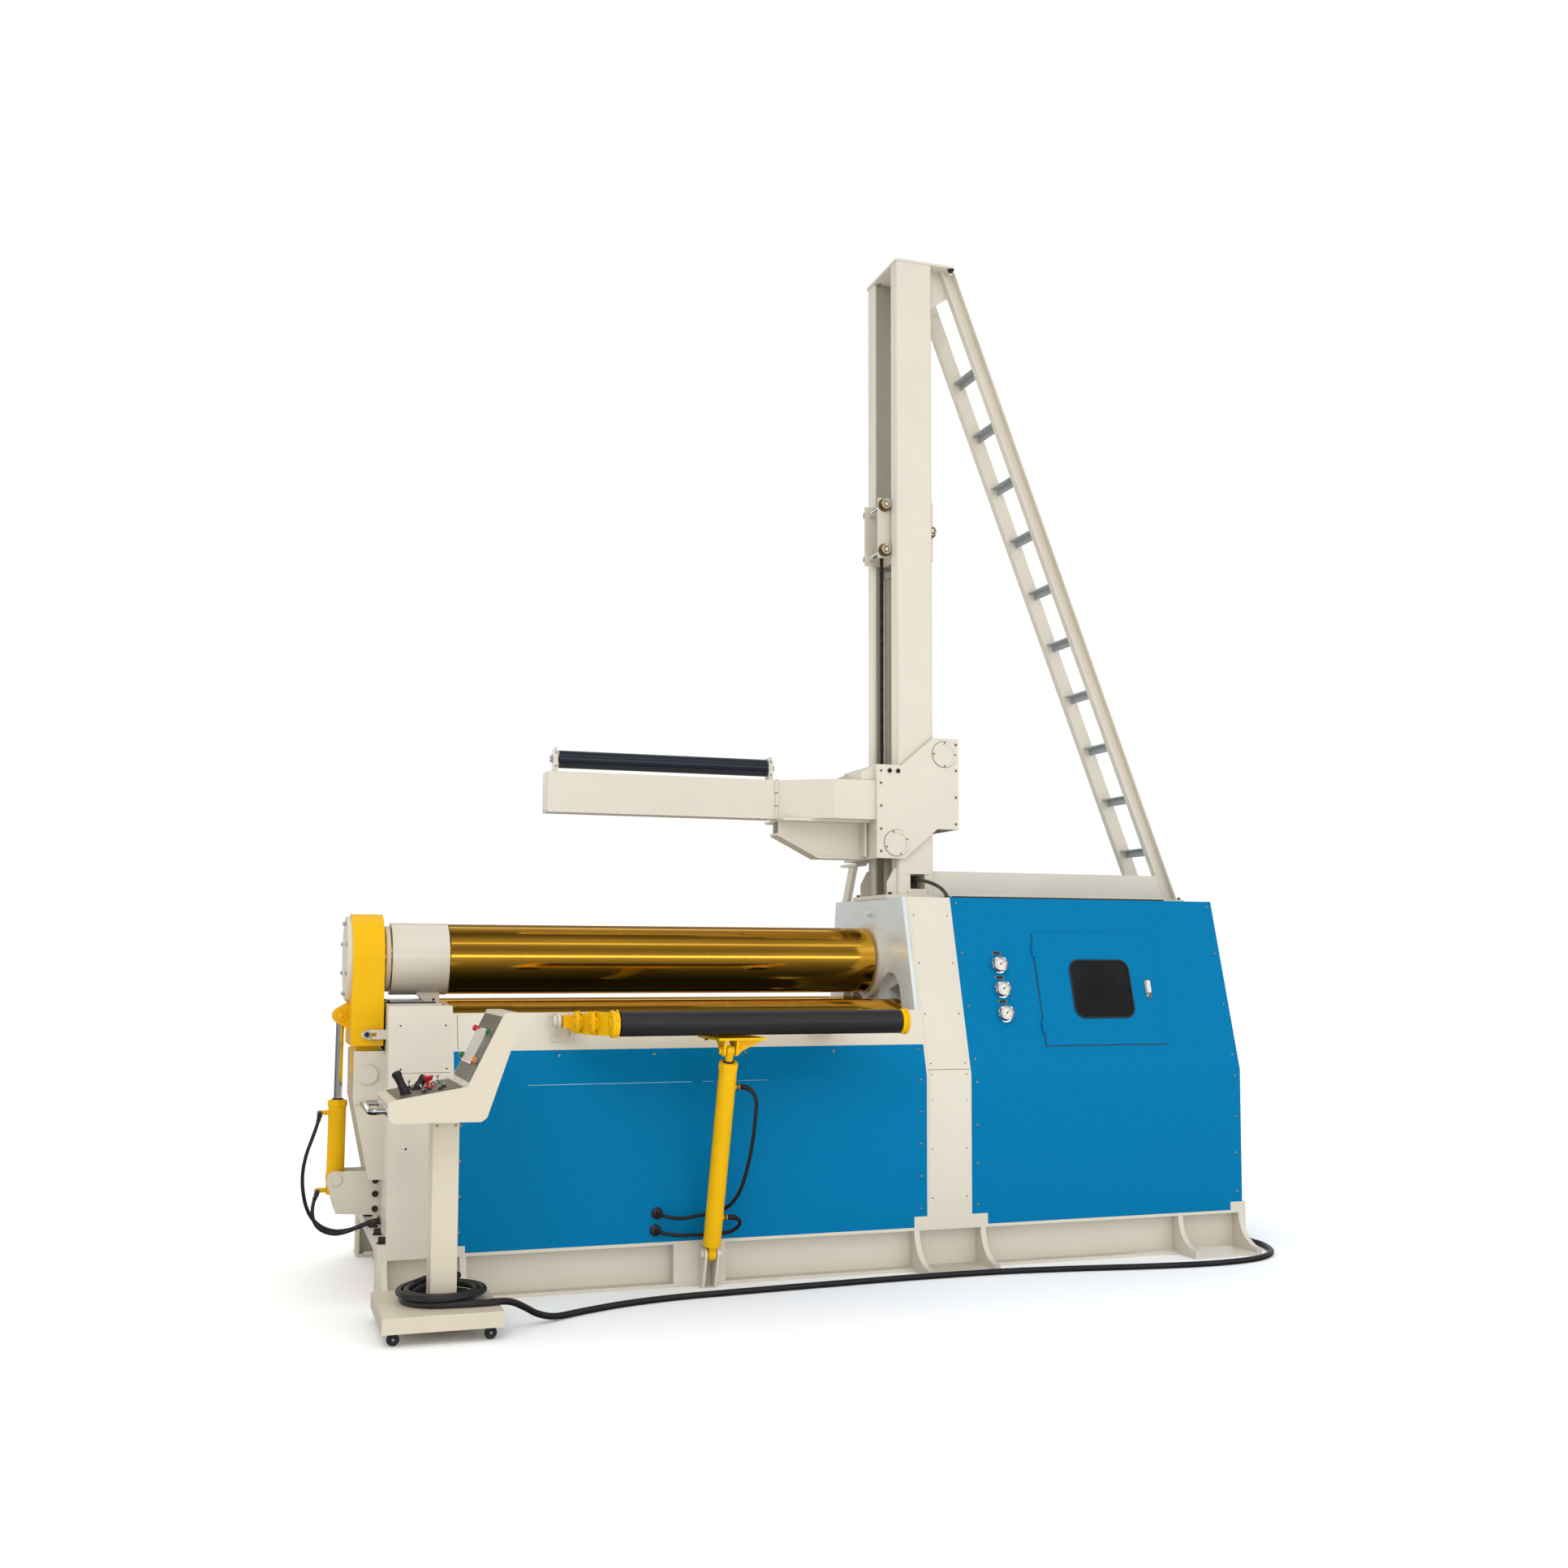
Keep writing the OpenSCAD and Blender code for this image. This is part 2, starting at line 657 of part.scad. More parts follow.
module drop_end_housing() {
    color(yellow) union() {
        difference() {
            along_x(housing_x, housing_right_x) {
                translate([0, roll_axis_z]) circle(r = housing_r);
                translate([-housing_r, housing_z]) square([2 * housing_r, roll_axis_z - housing_z]);
            }
            bar_x(housing_x - 1, housing_right_x + 1, 0, roll_axis_z, housing_bore_d);
        }
        block([drop_pivot_x - lug_r, -cheek_y + 8, drop_pivot_z],
              [drop_pivot_x + lug_r, cheek_y - 8, housing_z]);
        bar_y(-cheek_y + 8, cheek_y - 8, drop_pivot_x, drop_pivot_z, 2 * lug_r);
        bar_y(-cheek_y - cheek_t - 8, cheek_y + cheek_t + 8, drop_pivot_x, drop_pivot_z, drop_pin_d);
        for (y = [-ear_gap - ear_t, ear_gap]) along_y(y, y + ear_t) hull() {
            translate([drop_eye_x, drop_eye_z]) circle(r = boss_r);
            translate([housing_x - 1, drop_eye_z - 62]) square([1, 124]);
        }
    }
}

module drop_end_cover() {
    color(beige) bar_x(housing_x - cover_t, housing_x, 0, roll_axis_z, cover_d);
}

module drop_end_cheeks() {
    top_z = 1024;
    knee_z = 813;
    toe_z = 460;
    toe_x = left_stand_x - 63;
    left_x = left_stand_x - 135;
    ledge_z = 795;
    ledge = 10;
    color(beige) union() {
        for (y = [-cheek_y - cheek_t, cheek_y]) along_y(y, y + cheek_t) difference() {
            polygon([[left_x, top_z], [left_stand_x, top_z], [left_stand_x, toe_z], [toe_x, toe_z],
                     [left_x, knee_z]]);
            translate([drop_pivot_x, drop_pivot_z]) circle(d = drop_pin_d + 2 * run_fit);
        }
        for (side = [0, 1]) mirror([0, side, 0])
            block([left_x + 8, -cheek_y - cheek_t - ledge, ledge_z],
                  [left_stand_x, -cheek_y - cheek_t, ledge_z + ledge]);
        block([left_stand_x - 20, -cheek_y, 500], [left_stand_x, cheek_y, 850]);
    }
}

trunnion_cheek_y = 62;
trunnion_cheek_t = 22;
trunnion_d = 40;

module drop_end_bracket() {
    color(beige) union() {
        for (y = [-trunnion_cheek_y - trunnion_cheek_t, trunnion_cheek_y])
            along_y(y, y + trunnion_cheek_t) difference() {
                union() {
                    polygon([[drop_trunnion_x - 40, drop_trunnion_z - 10],
                             [drop_trunnion_x - 13, drop_trunnion_z + 34],
                             [left_stand_x, drop_trunnion_z + 34], [left_stand_x, 288],
                             [drop_trunnion_x, 300]]);
                    translate([drop_trunnion_x, drop_trunnion_z]) circle(r = 38);
                }
                translate([drop_trunnion_x, drop_trunnion_z]) circle(d = trunnion_d + 2 * run_fit);
            }
        block([left_stand_x - 20, -trunnion_cheek_y, 288], [left_stand_x, trunnion_cheek_y, 440]);
    }
}

drop_barrel_top = 348;
drop_barrel_bottom = 70;
drop_lean = atan((drop_eye_x - drop_trunnion_x) / (drop_eye_z - drop_trunnion_z));
drop_reach = norm([drop_eye_x - drop_trunnion_x, drop_eye_z - drop_trunnion_z]);

// A frame on the drop-end cylinder's trunnion with local Z along the rod
module on_drop_cylinder() {
    translate([drop_trunnion_x, 0, drop_trunnion_z]) rotate([0, drop_lean, 0]) children();
}

module drop_end_barrel() {
    color(yellow) on_drop_cylinder() difference() {
        union() {
            cylinder(h = drop_barrel_top, d = drop_barrel_d);
            translate([0, 0, -drop_barrel_bottom]) cylinder(h = drop_barrel_bottom, d = drop_barrel_d);
            bar_y(-trunnion_cheek_y - trunnion_cheek_t - 4, trunnion_cheek_y + trunnion_cheek_t + 4,
                  0, 0, trunnion_d);
            for (z = [drop_barrel_top - 57, -drop_barrel_bottom + 16]) {
                bar_x(-drop_barrel_d / 2 - 39, 0, 0, z, 22);
                bar_y(-46, 11, -drop_barrel_d / 2 - 39, z, 22);
            }
        }
        translate([0, 0, -drop_barrel_bottom + 30])
            cylinder(h = drop_barrel_top + drop_barrel_bottom, d = drop_rod_d + 2 * run_fit);
    }
}

module drop_end_rod() {
    inner_end = 290;
    color(steel) on_drop_cylinder() {
        translate([0, 0, inner_end]) cylinder(h = drop_reach - inner_end - eye_r + 8, d = drop_rod_d);
        bar_y(-ear_gap + 6, ear_gap - 6, 0, drop_reach, 2 * eye_r);
    }
}

// ---- Lateral support ----

side_hinge_y = base_half_w + side_hinge_out;
side_roller_y = side_hinge_y + side_reach_y;
side_roller_end = side_roller_x + side_roller_len;
side_bracket_x = [side_roller_x - 154, side_roller_end - 217];
bracket_ear_t = 16;
arm_boss_w = 44;
arm_boss_d = 56;
side_pin_d = 30;
side_shaft_d = 32;
roller_cap_t = 36;
side_play = 6;
side_pivot_y = base_half_w + 80;
side_pivot_z = 150;
side_eye_y = side_roller_y - 15;
side_eye_z = 1048;
side_ear_gap = 22;
side_ear_t = 12;

module side_support_brackets() {
    color(beige) {
        for (x = side_bracket_x) difference() {
            union() {
                for (side = [-1, 1])
                    along_x(x + side * (arm_boss_w / 2 + 6 + bracket_ear_t / 2) - bracket_ear_t / 2,
                            x + side * (arm_boss_w / 2 + 6 + bracket_ear_t / 2) + bracket_ear_t / 2) {
                        polygon([[-front_y(side_hinge_z - 81), side_hinge_z - 81],
                                 [-front_y(side_hinge_z + 34), side_hinge_z + 34],
                                 [-side_hinge_y + 8, side_hinge_z + 28],
                                 [-side_hinge_y - 14, side_hinge_z - 24]]);
                        translate([-side_hinge_y, side_hinge_z]) circle(r = 28);
                    }
                skin(0, x - arm_boss_w / 2 - 34, x + arm_boss_w / 2 + 34,
                     side_hinge_z - 88, beam_top_z, 10, -10);
            }
            bar_x(x - 80, x + 80, -side_hinge_y, side_hinge_z, side_pin_d + 2 * run_fit);
        }
        for (side = [-1, 1]) difference() {
            along_x(side_cyl_x + side * (side_ear_gap + side_ear_t / 2) - side_ear_t / 2,
                    side_cyl_x + side * (side_ear_gap + side_ear_t / 2) + side_ear_t / 2) {
                polygon([[-base_half_w, 0], [-base_half_w, 176], [-side_pivot_y - 10, side_pivot_z + 26],
                         [-side_pivot_y - 26, side_pivot_z - 10], [-base_half_w - 60, 0]]);
                translate([-side_pivot_y, side_pivot_z]) circle(r = 28);
            }
            bar_x(side_cyl_x - 60, side_cyl_x + 60, -side_pivot_y, side_pivot_z, side_pin_d + 2 * run_fit);
        }
    }
}

end_plate_t = 28;
end_plate_tip = [[side_roller_x - roller_cap_t / 2, side_roller_y],
                 [side_roller_end + roller_cap_t / 2 + 6, side_roller_y - side_roller_d / 2]];
inner_roller_y = [side_roller_y - 115, side_roller_y - 115 - inner_roller_pitch];
clevis_plate_z = [1092, 1103];
clevis_x = [side_cyl_x - 60, side_cyl_x + 150];

// Middle of the slanted left (0) or right (1) end plate at distance y from the middle plane
function end_plate_x(i, y) = side_bracket_x[i]
    + (y - side_hinge_y) * (end_plate_tip[i][0] - side_bracket_x[i]) / (end_plate_tip[i][1] - side_hinge_y);
// Left (0) or right (1) end of an inner roller, which stays clear of the slanted plate
function inner_roller_x(i, y) = i == 0
    ? end_plate_x(0, y + inner_roller_d / 2) + end_plate_t / 2 + side_play
    : end_plate_x(1, y - inner_roller_d / 2) - end_plate_t / 2 - side_play;

// An end plate from its hinge to the front roller's cap, with steps over the rollers
module end_plate(i) {
    y0 = side_hinge_y + (i == 0 ? 10 : 32);
    y1 = side_roller_y - (i == 0 ? 15 : 40);
    rear = -side_hinge_y - 10;
    x = side_bracket_x[i];
    intersection() {
        translate([0, 0, side_hinge_z - side_roller_d]) linear_extrude(2 * side_roller_d)
            polygon([for (e = [[-1, y0], [1, y0], [1, y1], [-1, y1]])
                     [end_plate_x(i, e[1]) + e[0] * end_plate_t / 2, -e[1]]]);
        along_x(side_bracket_x[0] - 100, side_roller_end + 100) translate([0, side_hinge_z])
            polygon([[rear, -26], [rear, 26], [rear - 50, 26], [rear - 58, 38], [rear - 154, 38],
                     [rear - 162, 48], [-y1, 48], [-y1, -50], [rear - 142, -50], [rear - 62, -42]]);
    }
    bar_x(x - arm_boss_w / 2, x + arm_boss_w / 2, -side_hinge_y, side_hinge_z, arm_boss_d);
    block([x - arm_boss_w / 2, -side_hinge_y - 48, side_hinge_z - 26],
          [x + arm_boss_w / 2, -side_hinge_y, side_hinge_z + 26]);
    bar_x(x - arm_boss_w / 2 - bracket_ear_t - 16, x + arm_boss_w / 2 + bracket_ear_t + 16,
          -side_hinge_y, side_hinge_z, side_pin_d);
    for (y = inner_roller_y) {
        plate_x = end_plate_x(i, y);
        ends = i == 0 ? [plate_x - 32, inner_roller_x(0, y) - side_play]
                      : [inner_roller_x(1, y) + side_play, plate_x + 32];
        bar_x(ends[0], ends[1], -y, side_hinge_z, 64);
        bar_x(i == 0 ? ends[0] : ends[1] - 16, i == 0 ? ends[0] + 16 : ends[1], -y, side_hinge_z, 86);
    }
}

module side_support_arm() {
    tie_bar = [side_hinge_y + 44, side_hinge_z - 30, 36];
    color(yellow) difference() {
        union() {
            for (i = [0, 1]) end_plate(i);
            for (x = [side_roller_x - roller_cap_t, side_roller_end + side_play])
                bar_x(x, x + roller_cap_t - side_play, -side_roller_y, side_hinge_z, side_roller_d + 4);
            bar_x(end_plate_x(0, tie_bar[0]), end_plate_x(1, tie_bar[0]),
                  -tie_bar[0], tie_bar[1], tie_bar[2]);
            block([clevis_x[0], -side_roller_y - 30, clevis_plate_z[0]],
                  [clevis_x[1], -tie_bar[0] + 12, clevis_plate_z[1]]);
            block([clevis_x[0], -tie_bar[0] - 12, clevis_plate_z[0]],
                  [clevis_x[1], -tie_bar[0] + 12, tie_bar[1]]);
            for (side = [-1, 1])
                along_x(side_cyl_x + side * (side_ear_gap + side_ear_t / 2) - side_ear_t / 2,
                        side_cyl_x + side * (side_ear_gap + side_ear_t / 2) + side_ear_t / 2) {
                    polygon([[-side_roller_y + 108, clevis_plate_z[0]],
                             [-side_roller_y - 20, clevis_plate_z[0]],
                             [-side_eye_y - 20, side_eye_z - 8], [-side_eye_y + 16, side_eye_z - 20]]);
                    translate([-side_eye_y, side_eye_z]) circle(r = 24);
                }
            along_y(-side_eye_y - 6, -side_eye_y + 6)
                polygon([[side_cyl_x + side_ear_gap + side_ear_t, clevis_plate_z[0]],
                         [clevis_x[1], clevis_plate_z[0]],
                         [side_cyl_x + side_ear_gap + side_ear_t, side_eye_z - 12]]);
        }
        for (y = concat([side_roller_y], inner_roller_y))
            bar_x(side_bracket_x[0] - 60, side_roller_end + 90, -y, side_hinge_z,
                  side_shaft_d + 2 * run_fit);
    }
}

// A support roller with its shaft, at distance y from the middle plane
module support_roller(x0, x1, shaft0, shaft1, y, d) {
    bar_x(x0, x1, -y, side_hinge_z, d);
    bar_x(shaft0, shaft1, -y, side_hinge_z, side_shaft_d);
}

module inner_roller(y) {
    support_roller(inner_roller_x(0, y), inner_roller_x(1, y),
                   end_plate_x(0, y) - 30, end_plate_x(1, y) + 30, y, inner_roller_d);
}

module side_support_roller() {
    color(black) support_roller(side_roller_x, side_roller_end, side_roller_x - roller_cap_t + 2,
                                side_roller_end + roller_cap_t - 2, side_roller_y, side_roller_d);
}
module side_middle_roller() { color(black) inner_roller(inner_roller_y[0]); }
module side_inner_roller() { color(black) inner_roller(inner_roller_y[1]); }

side_reach = norm([side_eye_y - side_pivot_y, side_eye_z - side_pivot_z]);
side_lean = atan((side_eye_y - side_pivot_y) / (side_eye_z - side_pivot_z));
side_barrel_top = side_reach - 52;
side_rod_inner = side_reach - 420;

// A frame on the lateral cylinder's lower pivot with local Z along the rod
module on_side_cylinder() {
    translate([side_cyl_x, -side_pivot_y, side_pivot_z]) rotate([side_lean, 0, 0]) children();
}

module side_support_barrel() {
    color(yellow) on_side_cylinder() difference() {
        union() {
            translate([0, 0, 44]) cylinder(h = side_barrel_top - 44, d = side_barrel_d);
            bar_x(-side_ear_gap + 6, side_ear_gap - 6, 0, 0, 56);
            block([-side_ear_gap + 6, -22, 0], [side_ear_gap - 6, 22, 50]);
            bar_x(-side_ear_gap - side_ear_t - 10, side_ear_gap + side_ear_t + 10, 0, 0, side_pin_d);
            for (z = [side_barrel_top - 112, 170]) bar_x(0, side_barrel_d / 2 + 19, 0, z, 22);
        }
        translate([0, 0, side_rod_inner - 10]) cylinder(h = side_barrel_top, d = side_rod_d + 2 * run_fit);
    }
}

module side_support_rod() {
    color(steel) on_side_cylinder() {
        translate([0, 0, side_rod_inner]) cylinder(h = side_reach - side_rod_inner, d = side_rod_d);
        bar_x(-side_ear_gap + 6, side_ear_gap - 6, 0, side_reach, 42);
    }
}

// ---- Column ----

post_x = right_inner_x + post_set_in;
post_end_x = post_x + post_w;
post_r = 18;
foot_top_z = hood_z + foot_plate_t;
cap_under_z = column_top_z - cap_t;
cap_x = post_x - 7;
cap_end_x = cap_x + cap_len;
cap_gusset_t = 10;
hoist_x = post_x + 87;
sprocket_r = 90;
conduit_hole = [post_x + 66, foot_top_z + 31, 80, 74];
// Inner face of the ladder rails' webs
ladder_web_y = ladder_half - rail_d;
rail_slope = 0.395;
rung_count = 10;
rung_step = 278;
rung_first_z = cap_under_z - 474;
rung_t = 6;

// Left edge of the ladder rails at height z
function rail_x(z) = cap_end_x - 62 + (cap_under_z - z) * rail_slope;

// A bar with its four long edges rounded, drawn out along Z
module rounded_post(x0, y0, x1, y1, z0, z1, r) {
    translate([0, 0, z0]) linear_extrude(z1 - z0)
        rounded_rect(x0, y0, x1 - x0, y1 - y0, r);
}

module column_posts() {
    color(beige) difference() {
        for (y = [-post_y, post_y - post_d])
            rounded_post(post_x, y, post_end_x, y + post_d, foot_top_z, cap_under_z, post_r);
        block([conduit_hole[0], -post_y - 1, conduit_hole[1]],
              [conduit_hole[0] + conduit_hole[2], -post_y + post_d - post_wall,
               conduit_hole[1] + conduit_hole[3]]);
    }
}

module column_cap() {
    low_z = cap_under_z - 110;
    color(beige) {
        rounded_post(cap_x, -post_y - 3, cap_end_x, post_y + 3, cap_under_z, column_top_z, 20);
        for (y = [-ladder_web_y, ladder_web_y - cap_gusset_t]) along_y(y, y + cap_gusset_t)
            polygon([[post_end_x, cap_under_z], [rail_x(cap_under_z) + rail_w - rail_t, cap_under_z],
                     [rail_x(low_z) + rail_w - rail_t, low_z], [rail_x(low_z) + rail_t, low_z - 20],
                     [post_end_x, low_z - 100]]);
    }
}

foot_plate_x = [post_x - 73, post_end_x + 85];
foot_plate_y = 230;
foot_gusset = [50, 133, 12];
strut_x = foot_plate_x[0] + 20;
strut_t = 24;
strut_top_z = carriage_z - 14;

module column_foot() {
    color(beige) {
        block([foot_plate_x[0], -foot_plate_y, hood_z], [foot_plate_x[1], foot_plate_y, foot_top_z]);
        for (y = [-post_y + 20, post_y - 20 - foot_gusset[2]]) along_y(y, y + foot_gusset[2])
            polygon([[post_x - foot_gusset[0], foot_top_z], [post_x, foot_top_z],
                     [post_x, foot_top_z + foot_gusset[1]], [post_x - 13, foot_top_z + foot_gusset[1]],
                     [post_x - foot_gusset[0], foot_top_z + 63]]);
        along_x(strut_x, strut_x + strut_t)
            polygon([[361, hood_z], [434, hood_z], [337, strut_top_z], [264, strut_top_z]]);
        block([strut_x - 10, post_y + 3, strut_top_z], [strut_x + 50, 434, carriage_z - 0.3]);
    }
}

// A rail's outline between two heights, drawn in by inset at its long edges
module rail_outline(z0, z1, inset = 0) {
    polygon([[rail_x(z0) + inset, z0], [rail_x(z0) + rail_w - inset, z0],
             [rail_x(z1) + rail_w - inset, z1], [rail_x(z1) + inset, z1]]);
}

// A channel rail with its web on the inner side, on its foot plate
module ladder_rail() {
    difference() {
        along_y(-ladder_half, -ladder_web_y) rail_outline(foot_top_z, cap_under_z);
        along_y(-ladder_half - 1, -ladder_web_y - rail_t)
            rail_outline(foot_top_z - 10, cap_under_z + 10, rail_t);
    }
    block([rail_x(foot_top_z) - 12, -ladder_half - 12, hood_z],
          [rail_x(foot_top_z) + rail_w + 34, -ladder_web_y + 12, foot_top_z]);
}

module ladder_brace() {
    color(beige) union() {
        for (side = [0, 1]) mirror([0, side, 0]) ladder_rail();
        for (i = [0:rung_count - 1]) {
            z = rung_first_z - i * rung_step;
            block([rail_x(z) + 18, -ladder_web_y, z - rung_t], [rail_x(z) + 60, ladder_web_y, z]);
            block([rail_x(z) + 60 - rung_t, -ladder_web_y, z - 40], [rail_x(z) + 60, ladder_web_y, z]);
        }
    }
}

hood_beam_h = 124;
hood_beam_w = 60;
flange_lip = 12;

module hood_beam() {
    color(beige) for (side = [0, 1]) mirror([0, side, 0]) {
        along_y(-ladder_half, -ladder_half + hood_beam_w)
            polygon([[post_end_x, foot_top_z], [rail_x(foot_top_z) - 2, foot_top_z],
                     [rail_x(foot_top_z + hood_beam_h) - 2, foot_top_z + hood_beam_h],
                     [post_end_x, foot_top_z + hood_beam_h]]);
        block([foot_plate_x[1], -ladder_half - flange_lip, hood_z],
              [rail_x(foot_top_z) - 12, -ladder_half + hood_beam_w + flange_lip, foot_top_z]);
    }
}

// ---- Carriage and overhead arm ----

plate_in_y = post_y + carriage_clear;
plate_out_y = plate_in_y + carriage_t;
carriage_x = post_x - carriage_left;
carriage_end_x = post_end_x + carriage_right;
carriage_left_top = carriage_z + carriage_left_h;
carriage_right_z = carriage_z + 152;
left_roller = [post_x - 0.5 - guide_roller_r, carriage_z + 77];
right_roller = [post_end_x + 0.5 + guide_roller_r, carriage_top_z - 74];
cover_centres = [[post_x - 18, left_roller[1]], [post_end_x + 48, right_roller[1] - 7]];
round_cover = [130, 104, 6, 3];

module carriage_outline() {
    polygon([[carriage_x, carriage_z], [carriage_x + 150, carriage_z],
             [carriage_end_x - 118, carriage_right_z], [carriage_end_x, carriage_right_z],
             [carriage_end_x, carriage_top_z],
             [carriage_end_x - 141, carriage_top_z], [carriage_x + 133, carriage_left_top],
             [carriage_x, carriage_left_top]]);
}

module carriage() {
    anchor_z = 2200;
    color(beige) union() {
        for (y = [-plate_out_y, plate_in_y]) along_y(y, y + carriage_t) carriage_outline();
        block([carriage_x, -plate_in_y, carriage_z], [carriage_x + 12, plate_in_y, carriage_left_top]);
        block([carriage_end_x - 12, -plate_in_y, carriage_right_z],
              [carriage_end_x, plate_in_y, carriage_top_z]);
        for (roller = [left_roller, right_roller]) {
            bar_y(-plate_in_y, plate_in_y, roller[0], roller[1], 30);
            for (y = [-post_y + 4, post_y - 74]) bar_y(y, y + 70, roller[0], roller[1], 2 * guide_roller_r);
        }
        for (centre = cover_centres) for (side = [0, 1]) mirror([0, side, 0]) {
            difference() {
                bar_y(-plate_out_y - round_cover[2], -plate_out_y, centre[0], centre[1], round_cover[0]);
                bar_y(-plate_out_y - round_cover[2] - 1, -plate_out_y, centre[0], centre[1], round_cover[1]);
            }
            bar_y(-plate_out_y - round_cover[3], -plate_out_y, centre[0], centre[1], round_cover[1]);
        }
        block([carriage_x, 20, anchor_z], [hoist_x - sprocket_r + 14, 44, anchor_z + 40]);
    }
}

arm_top_z = arm_z + arm_h;
over_shaft_d = 26;
over_bracket_t = 22;
shaft_clear = 6;
over_roller_z = arm_top_z + 64;
swing_end_x = over_roller_len / 2 + shaft_clear + over_bracket_t;
arm_hinge_x = swing_end_x + 8;
arm_end_x = -swing_end_x - 34;
arm_taper_x = arm_hinge_x + 241;
inner_end_x = arm_hinge_x + 8;
flange_half = 150;
flange_t = 12;
gusset_y = 34;
gusset_t = 12;
gusset_z = [carriage_z + 12, arm_z - 73];
gusset_knee_x = inner_end_x + 219;
slot = [65, 24, 99];
stiffener_t = 16;

module arm_inner_beam() {
    flange_z = arm_z - flange_t;
    color(beige) union() {
        translate([0, 0, arm_z]) linear_extrude(arm_h)
            polygon([[inner_end_x, -arm_w / 2], [arm_taper_x, -plate_in_y], [carriage_x, -plate_in_y],
                     [carriage_x, plate_in_y], [arm_taper_x, plate_in_y], [inner_end_x, arm_w / 2]]);
        difference() {
            block([inner_end_x, -flange_half, flange_z], [carriage_x, flange_half, arm_z]);
            for (side = [0, 1]) mirror([0, side, 0]) for (i = [0:3])
                block([inner_end_x + 31 + i * slot[2], -80 - slot[1] / 2, flange_z - 1],
                      [inner_end_x + 31 + i * slot[2] + slot[0], -80 + slot[1] / 2, arm_z + 1]);
        }
        for (side = [0, 1]) mirror([0, side, 0]) {
            along_y(-gusset_y - gusset_t, -gusset_y)
                polygon([[inner_end_x + 9, flange_z], [inner_end_x + 9, gusset_z[1]],
                         [gusset_knee_x, gusset_z[0]], [carriage_x, gusset_z[0]], [carriage_x, flange_z]]);
            along_y(-186, -174)
                polygon([[carriage_x - 68, arm_top_z], [carriage_x - 68, arm_top_z + 42],
                         [carriage_x, arm_top_z + 76], [carriage_x, arm_top_z]]);
        }
        along_y(-gusset_y - 2 * gusset_t, gusset_y + 2 * gusset_t)
            polygon([[inner_end_x - 1, gusset_z[1] + 5], [inner_end_x - 1, gusset_z[1] - 7],
                     [gusset_knee_x - 3, gusset_z[0] - 10], [carriage_x, gusset_z[0] - 10],
                     [carriage_x, gusset_z[0]], [gusset_knee_x, gusset_z[0]]]);
        block([carriage_x - 6 - stiffener_t, -110, gusset_z[0]], [carriage_x - 6, 110, flange_z]);
        bar_z(arm_z + 66, arm_z + 126, arm_hinge_x, -arm_w / 2 - 2, 16);
        block([arm_hinge_x, -arm_w / 2 - 6, arm_z + 66], [inner_end_x + 2, -arm_w / 2 + 8, arm_z + 126]);
    }
}

module arm_swing_beam() {
    color(beige) union() {
        block([arm_end_x, -arm_w / 2, arm_z], [swing_end_x, arm_w / 2, arm_top_z]);
        for (x = [-over_roller_len / 2 - shaft_clear - over_bracket_t, over_roller_len / 2 + shaft_clear])
            difference() {
                block([x, -30, arm_top_z], [x + over_bracket_t, 30, over_roller_z + 47]);
                bar_x(x - 1, x + over_bracket_t + 1, 0, over_roller_z, over_shaft_d + 2 * run_fit);
            }
        for (z = [arm_z, arm_z + 132]) {
            bar_z(z, z + 60, arm_hinge_x, -arm_w / 2 - 2, 16);
            block([swing_end_x - 2, -arm_w / 2 - 6, z], [arm_hinge_x, -arm_w / 2 + 8, z + 60]);
        }
    }
}

module overhead_roller() {
    shaft_end = over_roller_len / 2 + shaft_clear + over_bracket_t - 2;
    color(black) {
        bar_x(-over_roller_len / 2, over_roller_len / 2, 0, over_roller_z, over_roller_d);
        bar_x(-shaft_end, shaft_end, 0, over_roller_z, over_shaft_d);
    }
}

crosshead_z = [3485, 3795];
crosshead_x = [post_x - 60, post_end_x + 48];
crosshead_plate_y = [84, 98];
crosshead_bolts = [[post_x - 29, 3757], [post_x - 29, 3522], [post_end_x + 32, 3640]];
sprocket_z = 3640;
barrel_top_z = 3430;
rod_bottom_z = 2440;

module hoist_cylinder() {
    color("#8c8874") difference() {
        bar_z(foot_top_z, barrel_top_z, hoist_x, 0, hoist_barrel_d);
        bar_z(rod_bottom_z - 20, barrel_top_z + 1, hoist_x, 0, hoist_rod_d + 2 * run_fit);
    }
}

module hoist_crosshead() {
    color(beige) union() {
        for (y = [-crosshead_plate_y[1], crosshead_plate_y[0]])
            block([crosshead_x[0], y, crosshead_z[0]],
                  [crosshead_x[1], y + crosshead_plate_y[1] - crosshead_plate_y[0], crosshead_z[1]]);
        for (bolt = crosshead_bolts) {
            bar_y(-crosshead_plate_y[1], crosshead_plate_y[1], bolt[0], bolt[1], 24);
            for (y = [-crosshead_plate_y[1] - 34, crosshead_plate_y[1]])
                bar_y(y, y + 34, bolt[0], bolt[1], 46);
        }
        bar_y(-crosshead_plate_y[0], crosshead_plate_y[0], hoist_x, sprocket_z, 50);
        bar_y(-10, 10, hoist_x, sprocket_z, 2 * sprocket_r - 16);
        block([hoist_x - 35, -crosshead_plate_y[0], crosshead_z[0]],
              [hoist_x + 35, crosshead_plate_y[0], crosshead_z[0] + 40]);
    }
}

module hoist_rod() {
    color(steel) bar_z(rod_bottom_z, crosshead_z[0], hoist_x, 0, hoist_rod_d);
}

